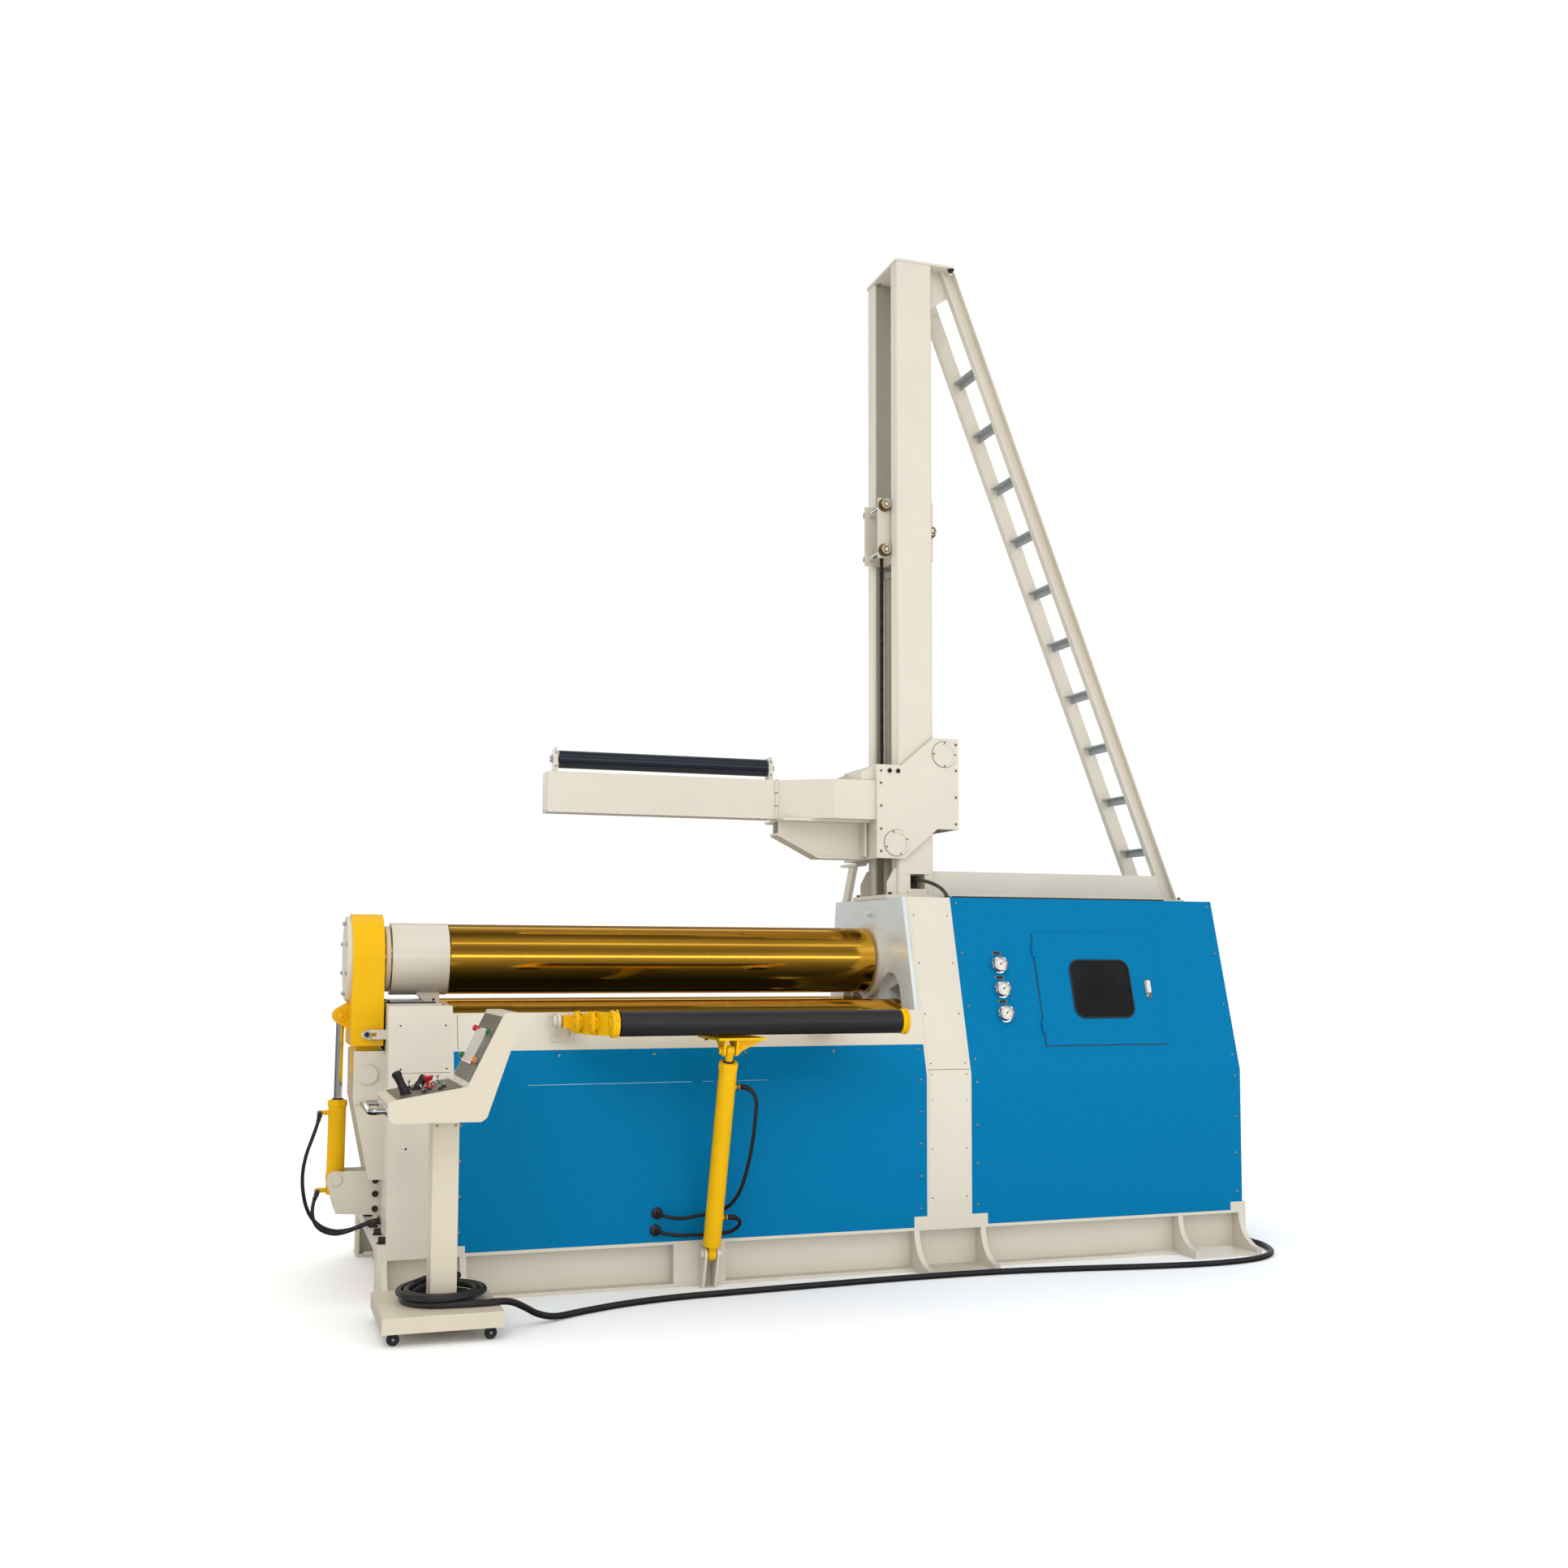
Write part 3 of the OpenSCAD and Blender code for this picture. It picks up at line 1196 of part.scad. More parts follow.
module hoist_chains() {
    link_w = 16;
    color("#4a4a46") union() {
        translate([hoist_x, 10, sprocket_z]) rotate([90, 0, 0]) rotate_extrude(angle = 180)
            translate([sprocket_r - link_w / 2, 0]) square([link_w, 20]);
        block([hoist_x - sprocket_r - link_w / 2, -10, 2220],
              [hoist_x - sprocket_r + link_w / 2, 10, sprocket_z]);
        block([hoist_x + sprocket_r - link_w / 2, -10, foot_top_z + 60],
              [hoist_x + sprocket_r + link_w / 2, 10, sprocket_z]);
    }
}

// ---- Console ----

console_post = [-1221, -1190, 100, 140];
head_y = tray_y + 13;
desk_left = [-1392, 905];
desk_right = [-1116, 951];
head_outline = [[-1410, 895], [-1408, 840], [-1387, 820], [-1062, 818], [-1041, 834], [-908, 1222],
                [-920, 1229], [-978, 1229], desk_right, desk_left];
caster_r = 24;

module console_base() {
    color(beige) union() {
        block([tray_x, tray_y, tray_top_z - tray_h], [tray_x + tray_len, tray_y + tray_w, tray_top_z]);
        block([console_post[0], console_post[1], tray_top_z],
              [console_post[0] + console_post[2], console_post[1] + console_post[3], 818]);
    }
}

module console_head() {
    color(beige) difference() {
        along_y(head_y, head_y + head_w) polygon(head_outline);
        block([console_post[0], console_post[1], 800],
              [console_post[0] + console_post[2], console_post[1] + console_post[3], 818]);
    }
}

// A place on the console's desk at distance x up its slope, with local Z square to it
module on_desk(x, y) {
    slope = atan((desk_right[1] - desk_left[1]) / (desk_right[0] - desk_left[0]));
    translate([desk_left[0], y, desk_left[1]]) rotate([0, -slope, 0]) translate([x, 0, 0]) children();
}

module console_controls() {
    color(black) on_desk(48, head_y + 235) {
        bar_z(0.3, 75, 0, 0, 30);
        bar_z(0.3, 40, 0, 0, 52);
    }
    color(steel) {
        for (y = [head_y + 60, head_y + head_w - 60]) bar_x(-1470, -1409.2, y, 862, 26);
        bar_y(head_y + 47, head_y + head_w - 47, -1470, 862, 26);
    }
}

module console_casters() {
    color(black) for (i = [0, 1]) for (j = [0, 1]) {
        x = tray_x + 45 + i * (tray_len - 90);
        y = tray_y + 45 + j * (tray_w - 90);
        bar_y(y - 9, y + 9, x, caster_r, 2 * caster_r);
        block([x - 20, y - 14, 2 * caster_r - 6], [x + 20, y + 14, tray_top_z - tray_h]);
    }
}

// ---- Cords ----

// Points of a smooth curve through the given route, n steps to each stretch
function route_point(r, i, t) =
    let (a = r[max(i - 1, 0)], b = r[i], c = r[i + 1], d = r[min(i + 2, len(r) - 1)])
    0.5 * ((2 * b) + (c - a) * t + (2 * a - 5 * b + 4 * c - d) * t * t
           + (3 * b - a - 3 * c + d) * t * t * t);
function smooth_route(r, n) = concat(
    [for (i = [0:len(r) - 2]) for (k = [0:n - 1]) route_point(r, i, k / n)], [r[len(r) - 1]]);
function unit(v) = v / norm(v);
function heading(p, i) = unit(p[min(i + 1, len(p) - 1)] - p[max(i - 1, 0)]);
// A direction square to v that turns little along a level route
function side_of(v) = abs(v[2]) > 0.9 ? unit(cross(v, [0, 1, 0])) : unit(cross(v, [0, 0, 1]));

// A tube swept along the points p
module tube(p, d, sides = 8) {
    rings = len(p);
    points = [for (i = [0:rings - 1]) let (h = heading(p, i), s = side_of(h), u = cross(s, h))
              for (k = [0:sides - 1]) let (a = 360 * k / sides) p[i] + d / 2 * (cos(a) * s + sin(a) * u)];
    polyhedron(points, concat(
        [[for (k = [sides - 1:-1:0]) k]],
        [for (i = [0:rings - 2]) for (k = [0:sides - 1]) let (n = (k + 1) % sides)
         [i * sides + k, i * sides + n, (i + 1) * sides + n, (i + 1) * sides + k]],
        [[for (k = [0:sides - 1]) (rings - 1) * sides + k]]));
}

hose_d = 18;
column_cable_d = 20;
coil_centre = [-1171, -1120];
coil_r = 150;

// Route of the hose from the drop-end cylinder's top fitting to the left stand
drop_hose_route = [[-1586.8, -46.3, 741.8], [-1586.8, -51, 741.8], [-1586.8, -56, 741.8],
    [-1590, -90, 733], [-1598, -115, 708], [-1609, -125, 674], [-1624, -124, 630], [-1642, -119, 575],
    [-1654, -114, 515], [-1657, -110, 455], [-1651, -106, 395], [-1636, -103, 335], [-1607, -100, 282],
    [-1562, -98, 245], [-1508, -97, 228], [-1450, -96, 232], [-1400, -96, 248], [-1358, -96, 264],
    [-1320, -96, 270]];

// Route of the hose from the lateral cylinder's top fitting to the front panel
side_hose_route = [[98.3, -938.6, 890.7], [102, -938.6, 890.7], [107, -938.6, 890.7], [140, -940, 881],
    [164, -943, 857], [173, -946, 822], [171, -943, 770], [167, -930, 690], [160, -906, 600],
    [150, -872, 510], [138, -824, 430], [118, -768, 370], [84, -716, 334], [36, -690, 318],
    [-20, -686, 310], [-72, -697, 306], [-112, -703, 308], [-148, -694, 314], [-174, -671, 320],
    [-184, -640, 324]];

// Route of the hose from the lateral cylinder's low fitting to the front panel
side_low_hose_route = [[98.3, -768.1, 313], [102, -768.1, 313], [107, -768.1, 313], [139, -761, 307],
    [162, -744, 292], [170, -720, 271], [162, -696, 250], [139, -679, 234], [106, -671, 228],
    [60, -669, 226], [10, -671, 226], [-40, -680, 228], [-88, -697, 232], [-130, -703, 238],
    [-165, -690, 244], [-185, -666, 249], [-191, -640, 251]];

// Route of the control cable from the coil on the console's tray to the cabinet
floor_cable_route = [[-1140, -1278, 124], [-1080, -1283, 124], [-1020, -1284, 124], [-966, -1277, 124],
    [-915, -1254, 113], [-860, -1218, 82], [-800, -1174, 44], [-720, -1120, 18], [-589, -1042, 14],
    [-400, -960, 14], [-170, -905, 14], [80, -881, 14], [520, -850, 14], [975, -826, 14],
    [1400, -830, 14], [1750, -872, 14], [2050, -922, 14], [2320, -955, 14], [2520, -955, 14],
    [2690, -925, 14], [2815, -860, 14], [2900, -765, 14], [2950, -650, 14], [2968, -560, 14],
    [2970, -500, 14], [2971, -441, 29], [2971, -399, 70], [2970, -383, 126], [2969, -366, 178],
    [2967, -348, 223], [2953, -331, 276], [2913, -316, 316], [2886, -311, 328], [2858, -310, 332]];

// Route of the cable out of the front post and down into the top of the cabinet
column_cable_route = [[1262, -117.3, 1836], [1262, -132, 1836], [1262, -150, 1836], [1264, -172, 1835.5],
    [1268, -194, 1834], [1274, -216, 1831], [1282, -238, 1827], [1292, -260, 1821], [1303, -281, 1813.5],
    [1315, -301, 1804], [1327, -319, 1792], [1337, -334, 1778], [1344, -345, 1764], [1348, -352, 1751],
    [1350, -355, 1740]];

module drop_end_hose() { color(black) tube(smooth_route(drop_hose_route, 2), hose_d); }
module side_hose() { color(black) tube(smooth_route(side_hose_route, 2), hose_d); }
module side_low_hose() { color(black) tube(smooth_route(side_low_hose_route, 3), hose_d); }
module column_cable() { color(black) tube(smooth_route(column_cable_route, 1), column_cable_d); }
module floor_cable() { color(black) tube(smooth_route(floor_cable_route, 2), cable_d, 10); }

coil_turns = [[-29, 0], [0, 0], [-15, 25], [13, 25]];

module cable_coil() {
    color(black) translate([coil_centre[0], coil_centre[1], tray_top_z + cable_d / 2])
        rotate_extrude() for (turn = coil_turns) translate([coil_r + turn[0], turn[1]]) circle(d = cable_d);
}

gland_y = -310;
gland_z = 332;

module cable_gland() {
    color(black) {
        bar_x(cabinet_end_x, cabinet_end_x + 20, gland_y, gland_z, 52);
        bar_x(cabinet_end_x + 20, cabinet_end_x + 33, gland_y, gland_z, 42);
    }
}

base_beams();
base_cross_beams();
base_feet();
stand_pads();
left_stand();
right_stand();
stand_covers();
front_panel();
rear_panel();
top_beams();
cabinet_shell();
cabinet_door();
door_window();
pressure_gauges();
top_roll();
top_roll_sleeve();
top_roll_ring();
bottom_roll();
bottom_bearings();
front_side_roll();
front_side_bearings();
rear_side_roll();
rear_side_bearings();
drop_end_housing();
drop_end_cover();
drop_end_cheeks();
drop_end_bracket();
drop_end_barrel();
drop_end_rod();
side_support_brackets();
side_support_arm();
side_support_roller();
side_middle_roller();
side_inner_roller();
side_support_barrel();
side_support_rod();
column_posts();
column_cap();
column_foot();
ladder_brace();
hood_beam();
carriage();
arm_inner_beam();
arm_swing_beam();
overhead_roller();
hoist_cylinder();
hoist_crosshead();
hoist_rod();
hoist_chains();
console_base();
console_head();
console_controls();
console_casters();
column_cable();
drop_end_hose();
side_hose();
side_low_hose();
floor_cable();
cable_coil();
cable_gland();
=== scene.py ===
"""Dresses the plate rolling machine.

Finishes, fasteners, gauges, console, chain, hoses and cables, light and camera."""
import json
import math

import bmesh
import bpy
from mathutils import Matrix, Vector


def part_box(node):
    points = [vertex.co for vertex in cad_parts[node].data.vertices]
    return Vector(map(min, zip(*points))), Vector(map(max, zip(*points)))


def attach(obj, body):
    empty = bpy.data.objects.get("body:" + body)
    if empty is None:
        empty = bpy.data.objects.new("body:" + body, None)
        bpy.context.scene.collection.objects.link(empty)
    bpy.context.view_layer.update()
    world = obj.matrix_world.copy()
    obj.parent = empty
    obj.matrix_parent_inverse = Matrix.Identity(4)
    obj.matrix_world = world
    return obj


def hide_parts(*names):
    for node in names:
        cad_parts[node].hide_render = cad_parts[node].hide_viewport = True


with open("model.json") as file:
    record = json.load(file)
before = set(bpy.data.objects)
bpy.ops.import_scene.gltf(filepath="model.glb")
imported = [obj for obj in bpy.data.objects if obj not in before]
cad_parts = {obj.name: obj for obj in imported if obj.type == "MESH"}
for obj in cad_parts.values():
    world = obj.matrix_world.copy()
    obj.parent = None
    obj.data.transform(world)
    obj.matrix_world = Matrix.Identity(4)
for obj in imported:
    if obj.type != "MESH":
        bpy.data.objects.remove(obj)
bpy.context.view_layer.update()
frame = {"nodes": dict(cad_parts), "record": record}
nodes = frame["nodes"]
MM = 0.001


# ---- Places on the machine ----

FRONT_Y, BEND_Z, HOOD_Z, HOOD_FRONT_Y = -0.640, 0.893, 1.740, -0.405
REAR_Y, HOOD_REAR_Y = 0.640, 0.500
SLOPE = math.atan2(HOOD_FRONT_Y - FRONT_Y, HOOD_Z - BEND_Z)


def front_y(z):
    """Where the front covers' outer face lies at height z."""
    return FRONT_Y if z <= BEND_Z else FRONT_Y + (z - BEND_Z) * math.tan(SLOPE)


def front_normal(z):
    return Vector((0, -1, 0)) if z < BEND_Z else Vector((0, -math.cos(SLOPE), math.sin(SLOPE)))


def on_slope(x, z, out=0.0):
    """A matrix on the sloping front: its Z points out of the cover, its Y up the slope."""
    normal = front_normal(BEND_Z + 0.01)
    up = Vector((0, math.sin(SLOPE), math.cos(SLOPE)))
    place = Vector((x, front_y(z), z)) + normal * out
    return Matrix.Translation(place) @ axes(Vector((1, 0, 0)), up, normal)


# ---- Mesh building ----


def shift(x, y, z):
    return Matrix.Translation((x, y, z))


def axes(x, y, z):
    """A rotation that takes X, Y and Z to the three directions."""
    return Matrix((x, y, z)).transposed().to_4x4()


def turned_to(axis):
    """A rotation that takes Z to the axis."""
    return Vector((0, 0, 1)).rotation_difference(Vector(axis).normalized()).to_matrix().to_4x4()


def at(place, axis=(0, 0, 1)):
    return Matrix.Translation(Vector(place)) @ turned_to(axis)


def polar(radius, a, height=0.0):
    """The point at angle a on a circle about Z."""
    return Vector((radius * math.cos(a), radius * math.sin(a), height))


def new_object(name, data):
    obj = bpy.data.objects.new(name, data)
    bpy.context.scene.collection.objects.link(obj)
    return obj


def lathe(bm, matrix, profile, sides=24, slot=0):
    """Revolves (radius, height) points about the matrix's Z."""
    rings = []
    for radius, height in profile:
        if radius < 1e-6:
            rings.append([bm.verts.new(matrix @ Vector((0, 0, height)))])
        else:
            rings.append([bm.verts.new(matrix @ polar(radius, 2 * math.pi * i / sides, height))
                          for i in range(sides)])
    for low, high in zip(rings, rings[1:]):
        for i in range(sides):
            j = (i + 1) % sides
            corners = [low[i % len(low)], low[j % len(low)], high[j % len(high)], high[i % len(high)]]
            unique = list(dict.fromkeys(corners))
            if len(unique) > 2:
                bm.faces.new(unique).material_index = slot


def disc(bm, matrix, profile, sides=24, slot=0):
    """Revolves (radius, height) points given in millimetres."""
    lathe(bm, matrix, [(radius * MM, height * MM) for radius, height in profile], sides, slot)


def prism(bm, matrix, outline, thickness, slot=0):
    """Draws the outline out along the matrix's Z."""
    low = [bm.verts.new(matrix @ Vector((x, y, 0))) for x, y in outline]
    high = [bm.verts.new(matrix @ Vector((x, y, thickness))) for x, y in outline]
    faces = [bm.faces.new(low[::-1]), bm.faces.new(high)]
    count = len(outline)
    for i in range(count):
        j = (i + 1) % count
        faces.append(bm.faces.new((low[i], low[j], high[j], high[i])))
    for face in faces:
        face.material_index = slot


def rounded(width, height, radius, steps=5):
    """The outline of a rectangle with round corners, centred."""
    points = []
    for k, (sx, sy) in enumerate(((1, 1), (-1, 1), (-1, -1), (1, -1))):
        for i in range(steps + 1):
            a = math.pi / 2 * (k + i / steps)
            points.append((sx * (width / 2 - radius) + radius * math.cos(a),
                           sy * (height / 2 - radius) + radius * math.sin(a)))
    return points


def slab(bm, matrix, width, height, thickness, radius=0.002, slot=0, ease=0.001):
    """A plate with round corners and an eased upper edge."""
    ease = min(ease, thickness * 0.4)
    outlines = [(rounded(width, height, radius), 0), (rounded(width, height, radius), thickness - ease),
                (rounded(width - 2 * ease, height - 2 * ease, max(radius - ease, 0.0004)), thickness)]
    rings = [[bm.verts.new(matrix @ Vector((x, y, z))) for x, y in outline] for outline, z in outlines]
    faces = [bm.faces.new(rings[0][::-1]), bm.faces.new(rings[-1])]
    for low, high in zip(rings, rings[1:]):
        for i in range(len(low)):
            j = (i + 1) % len(low)
            faces.append(bm.faces.new((low[i], low[j], high[j], high[i])))
    for face in faces:
        face.material_index = slot


def sweep(bm, points, radius, sides=10, slot=0):
    """A round bar along the points, with flat ends."""
    rings = []
    points = [Vector(p) for p in points]
    for i, p in enumerate(points):
        heading = (points[min(i + 1, len(points) - 1)] - points[max(i - 1, 0)]).normalized()
        across = turned_to(heading)
        rings.append([bm.verts.new(p + across @ polar(radius, 2 * math.pi * k / sides))
                      for k in range(sides)])
    for low, high in zip(rings, rings[1:]):
        nearest = min(range(sides), key=lambda k: (high[k].co - low[0].co).length)
        for i in range(sides):
            j = (i + 1) % sides
            corners = (low[i], low[j], high[(j + nearest) % sides], high[(i + nearest) % sides])
            bm.faces.new(corners).material_index = slot
    bm.faces.new(rings[0][::-1]).material_index = slot
    bm.faces.new(rings[-1]).material_index = slot


def piece(name, body, bm, materials, sharp=35):
    """Makes the object, smooth but for its sharp edges, and lets it ride on the body."""
    bmesh.ops.recalc_face_normals(bm, faces=bm.faces)
    for face in bm.faces:
        face.smooth = True
    for edge in bm.edges:
        if len(edge.link_faces) == 2 and edge.calc_face_angle(0) > math.radians(sharp):
            edge.smooth = False
    mesh = bpy.data.meshes.new(name)
    bm.to_mesh(mesh)
    bm.free()
    obj = new_object(name, mesh)
    for finish in materials:
        mesh.materials.append(finish)
    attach(obj, body)
    return obj


# ---- Materials ----


def feed(tree, node, inputs):
    """Links the inputs that are given as sockets, and sets the others."""
    for key, value in inputs.items():
        if isinstance(value, bpy.types.NodeSocket):
            tree.links.new(value, node.inputs[key])
        else:
            node.inputs[key].default_value = value


def add_node(tree, kind, inputs, operation=None):
    node = tree.nodes.new("ShaderNode" + kind)
    if operation:
        node.operation = operation
    feed(tree, node, inputs)
    return node


def material(name, colour, rough, metal=0.0, coat=0.0, specular=0.5, mottle=0.06, mottle_size=3.0,
             grain=0.0, grain_size=300.0, stretch=(1, 1, 1), rough_swing=0.06, zone=None,
             zone_colour=None, zone_metal=0.0):
    """A procedural finish: a mottled colour, an uneven roughness and a fine raised grain.

    Where zone, a function of the tree and the object coordinates, gives 1, its colour and metal hold."""
    mat = bpy.data.materials.new(name)
    mat.use_nodes = True
    tree = mat.node_tree
    shader = tree.nodes["Principled BSDF"]
    feed(tree, shader, {"Metallic": metal, "Specular IOR Level": specular, "Coat Weight": coat,
                        "Coat Roughness": 0.12})
    coords = add_node(tree, "TexCoord", {})
    mapping = add_node(tree, "Mapping", {"Scale": stretch, "Vector": coords.outputs["Object"]})

    def noise(scale, detail):
        node = add_node(tree, "TexNoise", {"Scale": scale, "Detail": detail,
                                           "Vector": mapping.outputs["Vector"]})
        return node.outputs["Fac"]

    broad = noise(mottle_size, 5)

    def mottled(tone):
        ramp = add_node(tree, "ValToRGB", {"Fac": broad})
        for i, (position, share) in enumerate(((0.3, 1 - mottle), (0.7, 1 + mottle))):
            ramp.color_ramp.elements[i].position = position
            ramp.color_ramp.elements[i].color = (*[min(1, c * share) for c in tone], 1)
        return ramp.outputs["Color"]

    base = mottled(colour)
    if zone:
        mask = zone(tree, coords.outputs["Object"])
        blend = tree.nodes.new("ShaderNodeMix")
        blend.data_type = "RGBA"
        feed(tree, blend, {"Factor": mask, "A": base, "B": mottled(zone_colour)})
        base = blend.outputs["Result"]
        shine = add_node(tree, "MapRange", {"To Min": metal, "To Max": zone_metal, "Value": mask})
        feed(tree, shader, {"Metallic": shine.outputs["Result"]})
    spread = add_node(tree, "MapRange", {"To Min": max(0.02, rough - rough_swing),
                                         "To Max": min(1, rough + rough_swing), "Value": broad})
    feed(tree, shader, {"Base Color": base, "Roughness": spread.outputs["Result"]})
    if grain:
        bump = add_node(tree, "Bump", {"Strength": grain, "Distance": 0.001, "Height": noise(grain_size, 2)})
        feed(tree, shader, {"Normal": bump.outputs["Normal"]})
    return mat


def within(half, axis="Y", above=False):
    """A zone: 1 where the coordinate's size is under half, or over it when above is set."""
    def zone(tree, place):
        split = add_node(tree, "SeparateXYZ", {0: place})
        side = add_node(tree, "Math", {0: split.outputs[axis]}, "ABSOLUTE")
        test = "GREATER_THAN" if above else "LESS_THAN"
        return add_node(tree, "Math", {0: side.outputs[0], 1: half}, test).outputs[0]
    return zone


BEIGE_TONE, ZINC_TONE = (0.64, 0.592, 0.495), (0.36, 0.385, 0.385)
YELLOW_TONE = (0.76, 0.425, 0.002)
ENAMEL = {"rough": 0.42, "coat": 0.15, "mottle": 0.025, "grain": 0.12, "grain_size": 160}
BEIGE = material("beige_enamel", BEIGE_TONE, **ENAMEL)
LADDER = material("ladder_enamel", BEIGE_TONE, 0.42, mottle=0.03, grain=0.12, grain_size=160,
                  zone=within(0.1245), zone_colour=ZINC_TONE, zone_metal=0.15)
# Painted shade: the posts' faces within 0.1085 of the middle in Y take a dark olive copy of the beige, the
# shade between the two posts.
POSTS_PAINTED_SHADE = material("post_enamel_painted_shade", BEIGE_TONE, zone=within(0.1085), zone_colour=(0.33, 0.32, 0.25),
                 zone_metal=0.1, **ENAMEL)
GLOSSY_BEIGE = material("sleeve_enamel", BEIGE_TONE, 0.42, coat=0.7, mottle=0.025, grain=0.06,
                        grain_size=160)
CONSOLE = material("console_enamel", (0.60, 0.54, 0.42), **ENAMEL)
# Painted light: a pale silvery copy of the beige paint for the right stand, standing for its brightly lit
# inner face.
STAND_PAINTED_LIGHT = material("stand_painted_light", (0.70, 0.745, 0.74), 0.38, metal=0.2, coat=0.1, mottle=0.06,
                mottle_size=4, grain=0.15, grain_size=140)
BLUE = material("blue_powder_coat", (0.0, 0.158, 0.345), 0.48, specular=0.04, mottle=0.07,
                mottle_size=95, grain=0.3, grain_size=420)
YELLOW = material("yellow_enamel", YELLOW_TONE, 0.34, coat=0.12, specular=0.1, mottle=0.05, grain=0.12,
                  grain_size=120)
GOLD = material("ground_roll", (0.82, 0.43, 0.045), 0.11, metal=1.0, mottle=0.12, mottle_size=5, grain=0.06,
                grain_size=120, stretch=(0.25, 3, 3), rough_swing=0.05)
STEEL = material("machined_steel", (0.42, 0.42, 0.42), 0.32, metal=1.0, mottle=0.12, mottle_size=8,
                 grain=0.08, grain_size=200)
ZINC = material("zinc_plate", (0.55, 0.58, 0.60), 0.38, metal=0.9, mottle=0.16, mottle_size=22, grain=0.08,
                grain_size=90)
CHROME = material("chrome", (0.82, 0.82, 0.84), 0.07, metal=1.0, mottle=0.02, rough_swing=0.02)
SIDE_ROD = material("side_rod", (0.82, 0.82, 0.84), 0.12, metal=1.0, mottle=0.02, rough_swing=0.02,
                    zone=within(1.0, "Z", True), zone_colour=YELLOW_TONE)
RUBBER = material("black_rubber", (0.016, 0.016, 0.019), 0.40, mottle=0.25, mottle_size=6, grain=0.25,
                  grain_size=240, stretch=(0.3, 2, 2))
OVERHEAD = material("dark_roller", (0.010, 0.014, 0.024), 0.30, coat=0.2, mottle=0.2, mottle_size=6,
                    grain=0.15, grain_size=200, stretch=(0.3, 2, 2))
CONDUIT = material("brown_conduit", (0.050, 0.040, 0.028), 0.32, mottle=0.25, mottle_size=20)
CABLE = material("cable_sheath", (0.013, 0.013, 0.015), 0.42, mottle=0.2, mottle_size=12,
                 grain=0.15, grain_size=300)
PLASTIC = material("black_plastic", (0.015, 0.015, 0.017), 0.38, mottle=0.15, mottle_size=10, grain=0.15,
                   grain_size=500)
# Painted shade: a near-black sheet laid in gaps and along edges where shade falls.
PAINTED_SHADE = material("shadow_gap", (0.06, 0.055, 0.045), 0.7, specular=0.1, mottle=0.15, mottle_size=40)
# Painted highlight: a pale blue for the line where the panel's bend catches the light.
BEND_HIGHLIGHT = material("bend_painted_highlight", (0.30, 0.50, 0.62), 0.4, mottle=0.3, mottle_size=25)
DARK_BOLT = material("blackened_bolt", (0.035, 0.033, 0.03), 0.38, metal=0.6, mottle=0.25, mottle_size=60)
BRASS = material("passivated_brass", (0.35, 0.24, 0.12), 0.36, metal=0.9, mottle=0.2, mottle_size=50)
CHAIN = material("oiled_chain", (0.07, 0.065, 0.06), 0.38, metal=0.85, mottle=0.3, mottle_size=60, grain=0.2,
                 grain_size=300)
DESK = material("desk_plate", (0.125, 0.112, 0.085), 0.45, metal=0.2, mottle=0.12, mottle_size=30, grain=0.2,
                grain_size=420)
SCREEN = material("screen", (0.50, 0.48, 0.42), 0.42, mottle=0.04, mottle_size=9)
RED = material("red_plastic", (0.62, 0.010, 0.014), 0.28, coat=0.3, mottle=0.05, mottle_size=30)
GREEN = material("green_plastic", (0.01, 0.16, 0.04), 0.24, coat=0.4, mottle=0.05, mottle_size=30)
ORANGE = material("orange_plastic", (0.72, 0.22, 0.02), 0.28, coat=0.3, mottle=0.05, mottle_size=30)
DIAL = material("dial_face", (0.66, 0.64, 0.58), 0.5, mottle=0.03, mottle_size=30)
GLASS = material("smoked_glass", (0.010, 0.011, 0.012), 0.05, specular=0.3, mottle=0.5, mottle_size=3)
# Painted shade: a dark olive copy of the beige paint for the hoist barrel, which stands in shadow.
CYLINDER_PAINTED_SHADE = material("cylinder_painted_shade", (0.25, 0.235, 0.17), 0.36, coat=0.2, mottle=0.1, mottle_size=6)

BY_SLOT = {"beige_paint": BEIGE, "blue_paint": BLUE, "yellow_paint": YELLOW, "roll_steel": GOLD,
           "bare_steel": STEEL, "black_rubber": RUBBER, "black_plastic": PLASTIC, "dark_glass": RUBBER}
BY_NODE = {"hoist_cylinder": CYLINDER_PAINTED_SHADE, "hoist_rod": CHROME, "drop_end_rod": CHROME,
           "side_support_rod": SIDE_ROD, "column_posts": POSTS_PAINTED_SHADE,
           "top_roll_sleeve": GLOSSY_BEIGE, "console_base": CONSOLE, "console_head": CONSOLE,
           "ladder_brace": LADDER, "right_stand": STAND_PAINTED_LIGHT, "overhead_roller": OVERHEAD, "cable_gland": PLASTIC}


def finish_nodes():
    """Gives every CAD node its finish and eases the edges of the flat-sided ones."""
    for part in frame["record"]["subparts"]:
        obj = nodes[part["node"]]
        finish = BY_NODE.get(part["node"], BY_SLOT[part["material_slot"]])
        obj.data.materials.clear()
        obj.data.materials.append(finish)
        bevel = obj.modifiers.new("eased_edges", "BEVEL")
        bevel.width = 0.0022
        bevel.segments = 2
        bevel.limit_method = "ANGLE"
        bevel.angle_limit = math.radians(50)
        bevel.harden_normals = False
        bevel.use_clamp_overlap = True


# ---- Fasteners ----


def screw(bm, place, axis, radius=0.006, slot=0):
    """A button-head screw with a small socket."""
    lathe(bm, at(place, axis), [(radius, 0), (radius, 0.4 * radius), (0.75 * radius, 0.68 * radius),
                                (0.42 * radius, 0.74 * radius), (0.36 * radius, 0.35 * radius),
                                (0, 0.35 * radius)], 12, slot)


